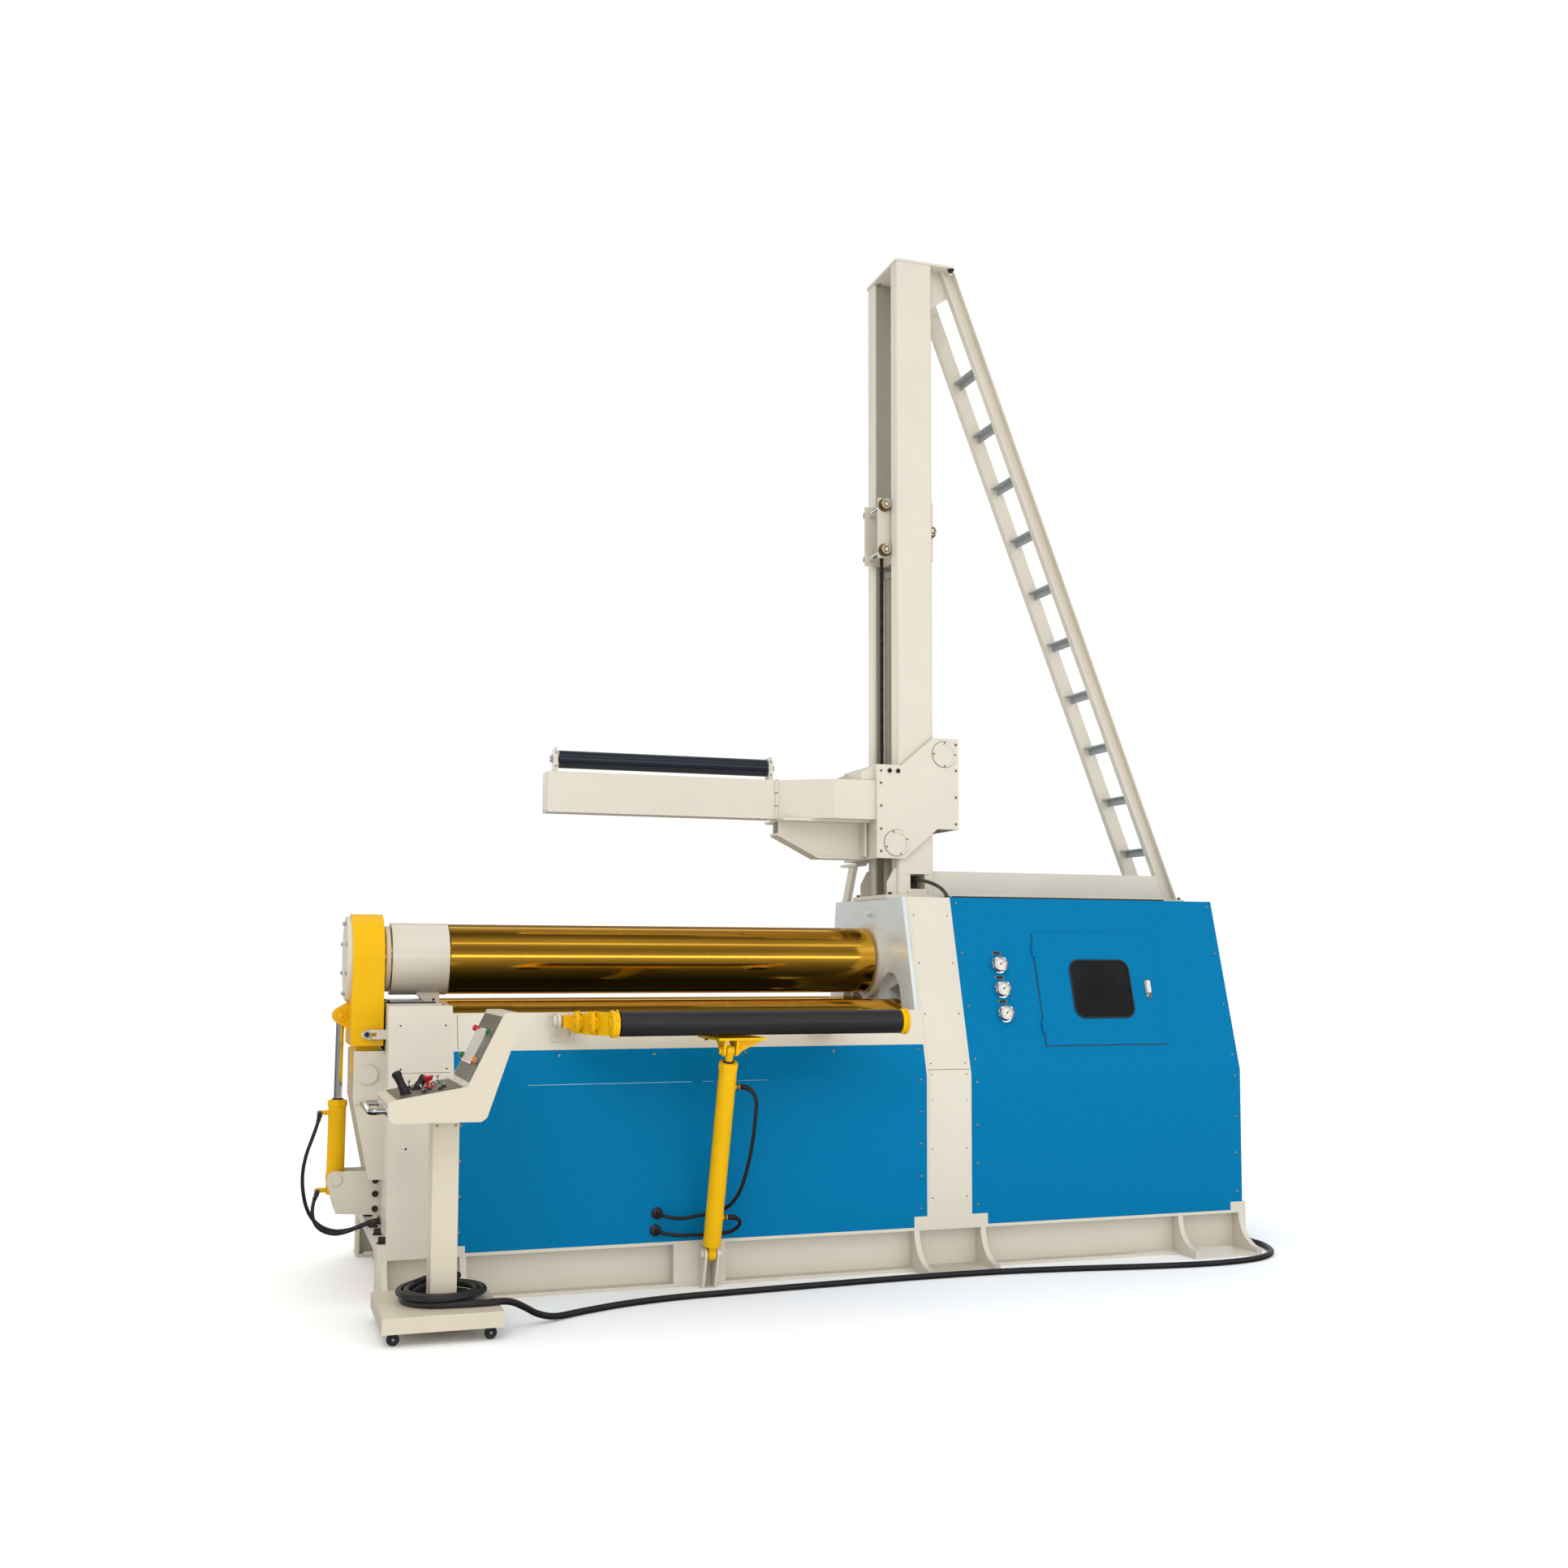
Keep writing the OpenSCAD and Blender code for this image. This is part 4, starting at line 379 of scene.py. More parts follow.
def hexagon(bm, place, axis, radius, height, slot=0):
    """A bolt head on its washer."""
    lathe(bm, at(place, axis), [(radius * 1.35, 0), (radius * 1.35, height * 0.18), (0, height * 0.18)],
          20, slot)
    lathe(bm, at(place, axis), [(radius, height * 0.18), (radius, height * 0.9), (radius * 0.86, height),
                                (0, height)], 6, slot)


def cover_screws():
    """Screws along the edges of the long panel, the cover strips and the cabinet, front and rear."""
    bm = bmesh.new()

    def put(x, z, radius=0.006, slot=0):
        screw(bm, (x, front_y(z), z), front_normal(z), radius, slot)
        rear = REAR_Y - max(0, z - BEND_Z) * (REAR_Y - HOOD_REAR_Y) / (HOOD_Z - BEND_Z)
        screw(bm, (x, rear, z), (0, 1, 0.0 if z < BEND_Z else 0.165), radius, slot)

    low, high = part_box("front_panel")
    for x in (low.x + 0.03, high.x - 0.03):
        for k in range(5):
            put(x, 0.285 + k * 0.148)
    columns = 5
    for k in range(columns + 1):
        put(low.x + 0.03 + k * (high.x - low.x - 0.06) / columns, high.z - 0.025)
    for x in (STRIP_LEFT + 0.026, STRIP_RIGHT - 0.026):
        for z in (0.330, 0.555, 0.780, 0.900, 0.950, 1.180, 1.420, 1.650):
            put(x, z, 0.0036, 1)
    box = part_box("cabinet_shell")
    for z in (0.290, 0.480, 0.660, 0.860, 0.965, 1.215, 1.470, 1.712):
        for x in (box[0].x + 0.03, box[1].x - 0.03):
            put(x, z)
    for x in (STAND.x + 0.028, -1.103):
        for z in (0.970, 1.150):
            put(x, z, 0.004, 1)
    put(STAND.x + 0.052, 0.640, 0.0045, 2)
    return piece("cover_screws", "frame", bm, [ZINC, DARK_BOLT, PLASTIC])


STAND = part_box("left_stand")[0]
STRIP_LEFT, STRIP_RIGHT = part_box("front_panel")[1].x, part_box("cabinet_shell")[0].x


def bent_plate(bm, x0, x1, z0, z1, thick=0.002, slot=0):
    """A thin sheet on the front covers from height z0 to z1, bent where they bend."""
    heights = [z0] + [z for z in (BEND_Z,) if z0 < z < z1] + [z1]
    outline = [(front_y(z) - thick * (0.6 if z in (z0, z1) else 1), z) for z in heights]
    outline += [(front_y(z), z) for z in reversed(heights)]
    prism(bm, shift(x0, 0, 0) @ Matrix(((0, 0, 1, 0), (1, 0, 0, 0), (0, 1, 0, 0), (0, 0, 0, 1))),
          outline, x1 - x0, slot)


def cover_plates():
    """Plates screwed over the right cover strip and the left cover, with dark strips of painted shade in the
    gaps round them.
    """
    bm = bmesh.new()
    for z0, z1 in ((0.305, 0.921), (0.9235, 1.700)):
        bent_plate(bm, STRIP_LEFT + 0.012, STRIP_RIGHT - 0.012, z0, z1)
    # Dark strips of painted shade: between the two plates, along the left cover's top and beside it.
    bent_plate(bm, STRIP_LEFT + 0.010, STRIP_RIGHT - 0.010, 0.919, 0.9255, 0.0012, 1)
    bent_plate(bm, STAND.x + 0.014, -1.090, 0.955, 1.170)
    bent_plate(bm, STAND.x + 0.0125, -1.0885, 0.9535, 0.9555, 0.0006, 1)
    bent_plate(bm, -1.0548, -1.0528, 1.046, 1.194, 0.0006, 1)
    return piece("cover_plates", "frame", bm, [BEIGE, PAINTED_SHADE])


def bend_highlight():
    """A painted highlight: a pale line along part of the long panel's bend, where the fold catches the
    light.
    """
    bm = bmesh.new()
    for x0, x1, width in ((-0.760, -0.030, 0.0022), (0.020, 0.070, 0.0016), (0.115, 0.330, 0.0014)):
        normal = (front_normal(BEND_Z - 0.01) + front_normal(BEND_Z + 0.01)).normalized()
        up = Vector((1, 0, 0)).cross(normal)
        turn = axes(Vector((1, 0, 0)), -up, normal)
        slab(bm, Matrix.Translation(Vector(((x0 + x1) / 2, front_y(BEND_Z), BEND_Z)) + normal * 0.0001)
             @ turn, x1 - x0, width, 0.0006, width * 0.4, 0, 0.0002)
    return piece("bend_highlight", "frame", bm, [BEND_HIGHLIGHT])


# ---- Cabinet ----


GAUGE_SHARE = 0.90


def gauge(bm, x, z):
    """A pressure gauge: a chrome bezel, a pale dial with a ring of marks, and a needle."""
    m = on_slope(x, z, 0.022) @ Matrix.Scale(GAUGE_SHARE, 4)
    disc(bm, m, [(40, -24), (40, -4), (44, -3), (44, 1), (41, 5), (37, 4), (34, 0.5), (0, 0.5)], 40, 0)
    disc(bm, m @ shift(0, 0, 0.0008), [(33.8, 0), (0, 0.2)], 32, 1)
    for k in range(25):
        a = math.radians(225 - k * 270 / 24)
        length = 0.008 if k % 4 == 0 else 0.0045
        turn = m @ Matrix.Rotation(a, 4, "Z") @ shift(0.0300 - length / 2, 0, 0.0011)
        prism(bm, turn, [(-length / 2, -0.0007), (length / 2, -0.0007), (length / 2, 0.0007),
                         (-length / 2, 0.0007)], 0.0002, 2)
    needle = m @ Matrix.Rotation(math.radians(38), 4, "Z") @ shift(0, 0, 0.0014)
    prism(bm, needle, [(-0.008, -0.0018), (0.024, -0.0006), (0.024, 0.0006), (-0.008, 0.0018)], 0.0006, 2)
    disc(bm, m @ shift(0, 0, 0.001), [(4, 0), (4, 1.5), (0, 2)], 16, 2)
    disc(bm, on_slope(x, z), [(41.5, 0), (41.5, 3), (36, 4)], 40, 0)
    slab(bm, on_slope(x - 0.006, z + 0.058, 0.0002), 0.050, 0.016, 0.002, 0.002, 0)
    slab(bm, on_slope(x - 0.006, z + 0.058, 0.0022), 0.034, 0.011, 0.0006, 0.001, 2, 0.0002)


def gauges():
    bm = bmesh.new()
    low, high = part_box("pressure_gauges")
    for z in (1.411, 1.293, 1.177):
        gauge(bm, (low.x + high.x) / 2, z)
    obj = piece("gauge_faces", "frame", bm, [CHROME, DIAL, PLASTIC])
    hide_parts("pressure_gauges")
    return obj


DOOR_X, DOOR_Z, DOOR_W, DOOR_H = 1.757, 1.024, 0.675, 0.562
WINDOW = (0.179, 0.130, 0.337, 0.298, 0.055)


def on_door(x, along, out=0.0):
    """A matrix on the door's outer face, at a distance from its lower left corner."""
    return on_slope(DOOR_X + x, DOOR_Z, 0.0063 + out) @ shift(0, along, 0)


def door_fittings():
    """The door's handle with its key plate, and the smoked pane inside the gasket."""
    bm = bmesh.new()
    m = on_door(0.608, 0.278)
    slab(bm, m, 0.032, 0.096, 0.004, 0.008)
    slab(bm, m @ shift(0.001, 0.010, 0.004), 0.021, 0.062, 0.010, 0.005, 2)
    disc(bm, m @ shift(0, -0.034, 0.004), [(8, 0), (8, 4), (6, 6), (0, 6)], 20)
    slab(bm, m @ shift(0, -0.034, 0.0101), 0.0018, 0.007, 0.0004, 0.0005, 1, 0.0001)
    piece("door_handle", "cabinet_door", bm, [CHROME, PLASTIC, DIAL])
    bm = bmesh.new()
    x, z, w, h, r = WINDOW
    rim = 0.0095
    m = on_door(x + w / 2, z + h / 2, -0.0009)
    slab(bm, m, w - 2 * rim, h - 2 * rim, 0.0012, r - rim, 0, 0.0004)
    return piece("window_pane", "cabinet_door", bm, [GLASS])


def door_edge_shade():
    """Painted shade: a dark strip along the door's hinge side and its lower edge, where the door's edge
    shades the cover.
    """
    bm = bmesh.new()
    lip = 0.004
    slab(bm, on_slope(DOOR_X - lip / 2, DOOR_Z) @ shift(0, DOOR_H / 2, 0), lip, DOOR_H, 0.0009,
         0.0005, 0, 0.0002)
    slab(bm, on_slope(DOOR_X + DOOR_W / 2, DOOR_Z) @ shift(0, -lip / 2, 0), DOOR_W, lip, 0.0009,
         0.0005, 0, 0.0002)
    return piece("door_edge_shade", "frame", bm, [PAINTED_SHADE])


# ---- Console ----

DESK_LEFT, DESK_RIGHT, PANEL_TOP = Vector((-1.392, 0, 0.905)), Vector((-1.116, 0, 0.951)), Vector((-0.978,
                                                                                                   0, 1.229))
HEAD_MIN_Y, HEAD_MAX_Y = -1.372, -0.892
COIL_CENTRE = Vector((-1.171, -1.120, 0))
HEAD_FRONT_X, HANDLE_X, HANDLE_Z = -1.4092, -1.470, 0.862


def on_edge(a, b, along, y, out=0.0):
    """A matrix on the console's face from a to b: X runs up the face, Y to the rear, Z out of it."""
    x_axis = (b - a).normalized()
    y_axis = Vector((0, 1, 0))
    z_axis = x_axis.cross(y_axis)
    if z_axis.z < 0:
        z_axis.negate()
    place = a + x_axis * along + z_axis * out
    place.y = y
    return Matrix.Translation(place) @ axes(x_axis, z_axis.cross(x_axis), z_axis)


def desk(along, y, out=0.0):
    return on_edge(DESK_LEFT, DESK_RIGHT, along, y, out)


def panel(along, y, out=0.0):
    return on_edge(DESK_RIGHT, PANEL_TOP, along, y, out)


def joystick(bm, along, y, height, lean, thick=1.0):
    """A ribbed boot with a grip that leans towards the operator, or away at a negative lean."""
    foot = desk(along, y, 0.003)
    lathe(bm, foot, [(0.021 * thick, 0), (0.021 * thick, 0.005), (0.017 * thick, 0.008)], 24, 1)
    m = foot @ Matrix.Rotation(math.radians(-lean), 4, "Y")
    profile = [(0.017, 0.004), (0.0185, 0.012), (0.0165, 0.018), (0.0175, 0.024), (0.0155, 0.030),
               (0.0165, 0.036), (0.0145, 0.042), (0.0155, height - 0.026), (0.0180, height - 0.016),
               (0.0175, height - 0.004), (0.012, height), (0, height + 0.002)]
    lathe(bm, m, [(r * thick, z) for r, z in profile], 24, 1)


def console_controls():
    """Desk plate with joysticks, toggles and an emergency stop; screen with four lamps; chrome handle."""
    bm = bmesh.new()
    mid_y = (HEAD_MIN_Y + HEAD_MAX_Y) / 2
    width = HEAD_MAX_Y - HEAD_MIN_Y - 0.05
    desk_length = (DESK_RIGHT - DESK_LEFT).length
    panel_length = (PANEL_TOP - DESK_RIGHT).length
    slab(bm, desk(desk_length / 2, mid_y, 0.0003), desk_length - 0.03, width, 0.003, 0.004, 0)
    slab(bm, panel(panel_length / 2, mid_y, 0.0003), panel_length - 0.035, width, 0.003, 0.004, 0)
    for y in (-0.2, 0.2):
        for along in (0.022, desk_length - 0.022):
            disc(bm, desk(along, mid_y + y, 0.0033), [(4, 0), (3, 1.5), (0, 2)], 12, 3)
        for along in (0.03, panel_length - 0.03):
            disc(bm, panel(along, mid_y + y, 0.0033), [(4, 0), (3, 1.5), (0, 2)], 12, 3)
    joystick(bm, 0.062, mid_y - 0.100, 0.095, 16, 1.05)
    joystick(bm, 0.112, mid_y + 0.010, 0.062, -42)
    disc(bm, desk(0.163, mid_y, 0.003), [(20, 0), (20, 6), (12, 8), (11, 22), (14, 26), (21, 40), (21, 43),
                                         (17, 45), (0, 44)], 28, 2)
    for along, y, lean in ((0.124, -0.175, -20), (0.184, -0.175, -20), (0.150, -0.110, 18),
                           (0.205, -0.110, 18), (0.092, 0.090, 10), (0.205, 0.100, 12)):
        m = desk(along, mid_y + y, 0.003)
        disc(bm, m, [(11, 0), (11, 3), (7, 5), (6.5, 10), (0, 11)], 16, 1)
        disc(bm, m @ Matrix.Rotation(math.radians(lean), 4, "Y") @ shift(0, 0, 0.007),
             [(2.2, 0), (2.2, 16), (4.5, 18), (5.5, 23), (4.5, 28), (0, 30)], 14, 3)
    screen = panel(panel_length * 0.50, mid_y + 0.035, 0.0033)
    slab(bm, screen, 0.150, 0.268, 0.007, 0.012, 3)
    slab(bm, screen @ shift(0, 0, 0.007), 0.134, 0.244, 0.001, 0.006, 4)
    lamps = ((0.325, -0.168, 6), (0.325, 0.182, 5), (0.71, -0.168, 5), (0.71, 0.182, 2))
    for share, y, slot in lamps:
        m = panel(panel_length * share, mid_y + y, 0.003)
        disc(bm, m, [(15, 0), (15, 5), (12.5, 7), (11.5, 7)], 24, 3)
        disc(bm, m, [(11.5, 6), (12.5, 16), (10.5, 22), (0, 24)], 24, slot)
    low_y, high_y, x, z, turn = HEAD_MIN_Y + 0.060, HEAD_MAX_Y - 0.060, HANDLE_X, HANDLE_Z, 0.020
    path = [Vector((HEAD_FRONT_X, low_y, z)), Vector((x + turn, low_y, z))]
    path += [Vector((x + turn - turn * math.sin(a), low_y + turn - turn * math.cos(a), z))
             for a in (math.pi / 2 * k / 5 for k in range(1, 6))]
    path += [Vector((x + turn - turn * math.cos(a), high_y - turn + turn * math.sin(a), z))
             for a in (math.pi / 2 * k / 5 for k in range(6))]
    path.append(Vector((HEAD_FRONT_X, high_y, z)))
    sweep(bm, path, 0.013, 20, 3)
    for y in (low_y, high_y):
        disc(bm, at((HEAD_FRONT_X, y, z), (-1, 0, 0)), [(19, -1), (19, 4), (14, 6)], 24, 3)
    obj = piece("console_panel", "frame", bm, [DESK, PLASTIC, RED, CHROME, SCREEN, GREEN,
                                               ORANGE])
    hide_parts("console_controls")
    return obj


def console_trim():
    """Screws of the console's post and the grommet its cable leaves by."""
    bm = bmesh.new()
    x, y = COIL_CENTRE.x, COIL_CENTRE.y
    disc(bm, at((x + 0.050, y, 0.196), (1, 0, 0)), [(24, 0), (24, 4), (19, 10), (14.5, 11)], 24, 0)
    for dx in (-0.036, 0.036):
        for z in (0.790, 0.130):
            screw(bm, (x + dx, y - 0.070, z), (0, -1, 0), 0.005, 1)
    return piece("console_trim", "frame", bm, [RUBBER, ZINC])


def casters():
    """Swivel casters: a top plate, a bent fork and a tyred wheel on its axle."""
    bm = bmesh.new()
    low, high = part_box("console_casters")
    radius, top = 0.024, high.z
    for x in (low.x + radius, high.x - radius):
        for y in (low.y + 0.014, high.y - 0.014):
            slab(bm, shift(x, y, top - 0.003), 0.040, 0.028, 0.003, 0.003, 1)
            disc(bm, shift(x, y, top - 0.008), [(0, 0), (12, 1), (13, 5)], 20, 1)
            for side in (-1, 1):
                fork = shift(x, y + side * 0.0125 - 0.0015, 0) @ Matrix.Rotation(math.pi / 2, 4, "X")
                fork = fork @ shift(0, 0, -0.003)
                prism(bm, fork, [(-0.013, top - 0.004), (-0.007, 0.019), (0, 0.015), (0.007, 0.019),
                                 (0.013, top - 0.004)], 0.003, 1)
                disc(bm, at((x, y + side * 0.0110, radius), (0, side, 0)),
                     [(6, 0), (6, 3.5), (4, 5), (0, 5)], 14, 2)
            lathe(bm, at((x, y - 0.009, radius), (0, 1, 0)),
                  [(0.007, 0.001), (0.016, 0.001), (0.018, 0.0), (0.022, 0.002), (radius, 0.006),
                   (radius, 0.012), (0.022, 0.016), (0.018, 0.018), (0.016, 0.017), (0.007, 0.017)], 28, 0)
    obj = piece("casters", "frame", bm, [PLASTIC, DARK_BOLT, ZINC])
    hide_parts("console_casters")
    return obj


# ---- Drop end ----

ROLL_Z = 1.433

DROP_PIVOT, DROP_EYE = Vector((-1.392, 0, 0.921)), Vector((-1.504, 0, 1.176))
TRUNNION, DROP_AXIS = Vector((-1.512, 0, 0.450)), Vector((0.011019, 0, 0.999939))
SIDE_PIVOT, SIDE_AXIS = Vector((0.040, -0.720, 0.150)), Vector((0, -0.283034, 0.95911))


def gland(bm, place, axis, barrel_r, rod_r, slot=0, wiper=1):
    """The nut and the wiper ring where a rod enters its barrel."""
    r = barrel_r
    lathe(bm, at(place, axis), [(r + 0.001, -0.030), (r + 0.004, -0.028), (r + 0.004, -0.006), (r, -0.001),
                                (rod_r + 0.008, 0.001), (rod_r + 0.008, 0.0)], 8, slot)
    lathe(bm, at(place, axis), [(rod_r + 0.008, 0.0), (rod_r + 0.007, 0.006), (rod_r + 0.002, 0.008),
                                (rod_r + 0.0006, 0.007)], 32, wiper)


def port_nut(bm, place, axis, slot):
    disc(bm, at(place, axis), [(12.5, 0), (13.5, 2), (13.5, 12), (12.5, 14), (10.5, 14)], 6, slot)


def housing_details():
    """Bolts and rim of the round cover, the eye's pin and the covers over the pivot pin's ends."""
    bm = bmesh.new()
    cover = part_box("drop_end_cover")
    centre = Vector((cover[0].x, 0, (cover[0].z + cover[1].z) / 2))
    disc(bm, at(centre, (-1, 0, 0)), [(184, 0), (183, 3), (160, 3), (158, 0.5), (60, 0.5), (58, 4),
                                      (0, 4)], 72, 0)
    for k in range(8):
        a = math.pi / 4 * (k + 0.5)
        hexagon(bm, centre + Vector((-0.003, 0.172 * math.cos(a), 0.172 * math.sin(a))), (-1, 0, 0),
                0.008, 0.008, 1)
    for side in (-1, 1):
        end = Vector((DROP_PIVOT.x, side * 0.211, DROP_PIVOT.z))
        disc(bm, at(end, (0, side, 0)), [(41, -7), (42, -5), (42, 2), (40, 4), (36, 4.5), (35, 3),
                                         (0, 3)], 48, 0)
        eye = Vector((DROP_EYE.x, side * 0.036, DROP_EYE.z))
        disc(bm, at(eye, (0, side, 0)), [(27, 0), (27, 4), (24, 5), (23, 2), (14, 2), (13, 6), (10, 8),
                                         (0, 8)], 32, 2)
    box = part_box("drop_end_housing")
    for x in (box[1].x - 0.138, box[1].x):
        slab(bm, shift(x + (0.0015 if x == box[1].x else -0.0015), 0, 1.049),
             0.003, 0.360, 0.004, 0.001, 2, 0.001)
    return piece("housing_details", "drop_end", bm, [BEIGE, ZINC, YELLOW])


def drop_barrel_details():
    bm = bmesh.new()
    gland(bm, TRUNNION + DROP_AXIS * 0.348, DROP_AXIS, 0.039, 0.018, 0, 1)
    for side in (-1, 1):
        end = TRUNNION + Vector((0, side * 0.088, 0))
        disc(bm, at(end, (0, side, 0)), [(25, -3), (26, 0), (24, 3), (21, 3.5), (20, 2), (0, 2)], 32, 2)
    for z in (0.291, -0.054):
        port = TRUNNION + DROP_AXIS * z + Vector((-0.078, -0.031, 0))
        port_nut(bm, port, (0, -1, 0), 3)
    disc(bm, at(TRUNNION - DROP_AXIS * 0.070, -DROP_AXIS), [(39, 0), (36, 3), (20, 5), (0, 5)], 32, 0)
    return piece("drop_barrel_details", "drop_barrel", bm, [YELLOW, RUBBER, BEIGE, ZINC])


def stop_bracket():
    """The slotted bar from the stand past the housing, with its bolt and the wire that runs back from it."""
    bm = bmesh.new()
    x0, x1, z = -1.428, -1.318, 1.098
    y, half = -0.214, 0.021
    turn = shift(0, y, z) @ Matrix.Rotation(math.pi / 2, 4, "X")
    slot0, slot1, slot_half = -1.392, -1.362, 0.008
    prism(bm, turn, [(slot1, half), (x1, half), (x1, -half), (slot1, -half)], 0.006)
    for side in (-1, 1):
        prism(bm, turn, [(slot0, side * slot_half), (slot1, side * slot_half), (slot1, side * half),
                         (slot0, side * half)], 0.006)
    arc = [(slot0 - (slot0 - x0) * math.sin(a), half * math.cos(a)) for a in
           (math.pi * k / 10 for k in range(11))]
    prism(bm, turn, arc, 0.006)
    bolt = Vector((slot0 - 0.010, y - 0.006, z))
    disc(bm, at(bolt, (0, -1, 0)), [(17, 0), (17, 2), (0, 2)], 24, 1)
    hexagon(bm, bolt, (0, -1, 0), 0.008, 0.012, 2)
    wire = [bolt + Vector((0.002, -0.006, 0)), bolt + Vector((0.020, -0.008, -0.018)),
            bolt + Vector((0.045, -0.008, -0.045)), bolt + Vector((0.075, -0.006, -0.078)),
            bolt + Vector((0.096, -0.004, -0.098))]
    sweep(bm, wire, 0.0018, 8, 1)
    return piece("stop_bracket", "frame", bm, [BEIGE, ZINC, DARK_BOLT])


def stand_details():
    """Wiper plate on the left stand, bolts of the trunnion bracket, the pad and the feet."""
    bm = bmesh.new()
    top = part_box("left_stand")[1]
    slab(bm, shift(-1.205, 0, top.z), 0.222, 0.270, 0.006, 0.003, 0)
    slab(bm, shift(-1.225, 0, top.z + 0.006), 0.150, 0.262, 0.010, 0.003, 1)
    for x in (-1.296, -1.172):
        for y in (-0.110, 0.110):
            hexagon(bm, (x, y, top.z + 0.006), (0, 0, 1), 0.009, 0.009, 0)
    for side in (-1, 1):
        for z in (0.441, 0.382, 0.316):
            hexagon(bm, (-1.342, side * 0.084, z), (0, side, 0), 0.0105, 0.012, 0)
        for y in (0.158, 0.366, 0.590):
            hexagon(bm, (-1.353, side * y, 0.248), (0, 0, 1), 0.0158, 0.028, 0)
    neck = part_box("top_roll_sleeve")
    for side in (-1, 1):
        screw(bm, (neck[1].x - 0.060, side * 0.062, 1.248), (0, side, 0), 0.006, 0)
    return piece("stand_details", "frame", bm, [DARK_BOLT, STEEL])


def roll_details():
    """The shoulder ring beside the sleeve."""
    bm = bmesh.new()
    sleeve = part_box("top_roll_sleeve")
    centre = Vector((sleeve[0].x - 0.027, 0, ROLL_Z))
    disc(bm, at(centre, (1, 0, 0)), [(134, 0), (148, 1), (150, 3), (150, 20), (148, 22), (134, 23)], 64, 0)
    return piece("shoulder_ring", "top_roll", bm, [BEIGE])


# ---- Lateral support ----

ARM_Z = 1.166
BRACKET_X, HINGE_Y = (-0.600, 0.595), -0.668
EYE_Y, EYE_Z = -0.985, 1.048


# left and right end, Y, bearing radius and bolts at the right end of each roller
ROLLER_ENDS = ((-0.482, 0.848, -1.000, 0.054, 4), (-0.543, 0.814, -0.885, 0.043, 6),
               (-0.587, 0.722, -0.778, 0.043, 6))


def flange(bm, x, y, radius, side, bolts=6):
    """A bearing flange on an end plate: a raised ring with bolts round it."""
    m = at((x, y, ARM_Z), (side, 0, 0))
    lathe(bm, m, [(radius - 0.004, -0.012), (radius + 0.003, -0.011), (radius + 0.004, -0.009),
                  (radius + 0.004, -0.002), (radius + 0.001, 0.001), (radius * 0.55, 0.002),
                  (radius * 0.5, 0.007), (0, 0.008)], 40, 0)
    for k in range(bolts):
        a = 2 * math.pi * (k + 0.5) / bolts
        hexagon(bm, m @ Vector((radius * 0.78 * math.cos(a), radius * 0.78 * math.sin(a), 0.0008)),
                (side, 0, 0), 0.006, 0.006, 0)


def lateral_details():
    """Bearing flanges and their bolts, the end cap's bolt and the clevis pin."""
    bm = bmesh.new()
    for left, right, y, radius, bolts in ROLLER_ENDS:
        flange(bm, left, y, radius, -1)
        flange(bm, right, y, radius, 1, bolts)
    for (_, _, y, radius, _), x in zip(ROLLER_ENDS, (-0.458, -0.529, -0.573)):
        for degrees in (20, 75, 130, 185, 240, 295):
            a = math.radians(degrees)
            radial = Vector((0, -math.cos(a), math.sin(a)))
            hexagon(bm, Vector((x, y, ARM_Z)) + radial * radius, radial, 0.0055, 0.007, 0)
    for side, x in ((-1, 0.006), (1, 0.074)):
        disc(bm, at((x, EYE_Y, EYE_Z), (side, 0, 0)),
             [(19, 0), (19, 4), (14, 5), (13, 13), (10, 15), (0, 15)], 28, 0)
        screw(bm, (x + side * 0.015, EYE_Y, EYE_Z), (side, 0, 0), 0.005, 1)
    for x in (-0.010, 0.150):
        hexagon(bm, (x, -0.800, 1.092), (0, 0, -1), 0.008, 0.008, 1)
    return piece("lateral_details", "side_arm", bm, [YELLOW, DARK_BOLT])


def lateral_pin_caps():
    """Round heads of the hinge pins outside the bracket ears."""
    bm = bmesh.new()
    for x in BRACKET_X:
        for side in (-1, 1):
            disc(bm, at((x + side * 0.054, HINGE_Y, ARM_Z), (side, 0, 0)),
                 [(24, -8), (25, -6), (25, 3), (21, 6), (0, 7)], 32, 0)
    return piece("hinge_pin_heads", "side_arm", bm, [BEIGE])


def side_barrel_details():
    bm = bmesh.new()
    gland(bm, SIDE_PIVOT + SIDE_AXIS * 0.8843, SIDE_AXIS, 0.039, 0.017, 0, 1)
    for side in (-1, 1):
        disc(bm, at(SIDE_PIVOT + Vector((side * 0.044, 0, 0)), (side, 0, 0)),
             [(21, -8), (21, -4), (17, -3), (17, 1), (12, 3), (0, 3)], 28, 2)
    for z in (0.7723, 0.170):
        port_nut(bm, SIDE_PIVOT + SIDE_AXIS * z + Vector((0.042, 0, 0)), (1, 0, 0), 3)
    disc(bm, at(SIDE_PIVOT + SIDE_AXIS * 0.046, -SIDE_AXIS), [(39, 0), (36, 4), (26, 6)], 32, 0)
    return piece("side_barrel_details", "side_barrel", bm, [YELLOW, RUBBER, BEIGE, BRASS])


def bracket_details():
    """Bolts of the lateral support's brackets."""
    bm = bmesh.new()
    for x in BRACKET_X:
        for dx in (-0.048, 0.048):
            for z in (1.092, 1.186):
                hexagon(bm, (x + dx, front_y(z) - 0.0103, z), front_normal(z), 0.006, 0.006, 0)
    return piece("bracket_bolts", "frame", bm, [BEIGE])


# ---- Column and carriage ----

CAP_LOW_Z, BEAM_Z, CARRIAGE_Y = 5.010, 2.227, 0.226
HOOD_BEAM_X = (1.345, 2.690)
CROSSHEAD_PINS = ((1.124, 3.757), (1.124, 3.522), (1.380, 3.640))


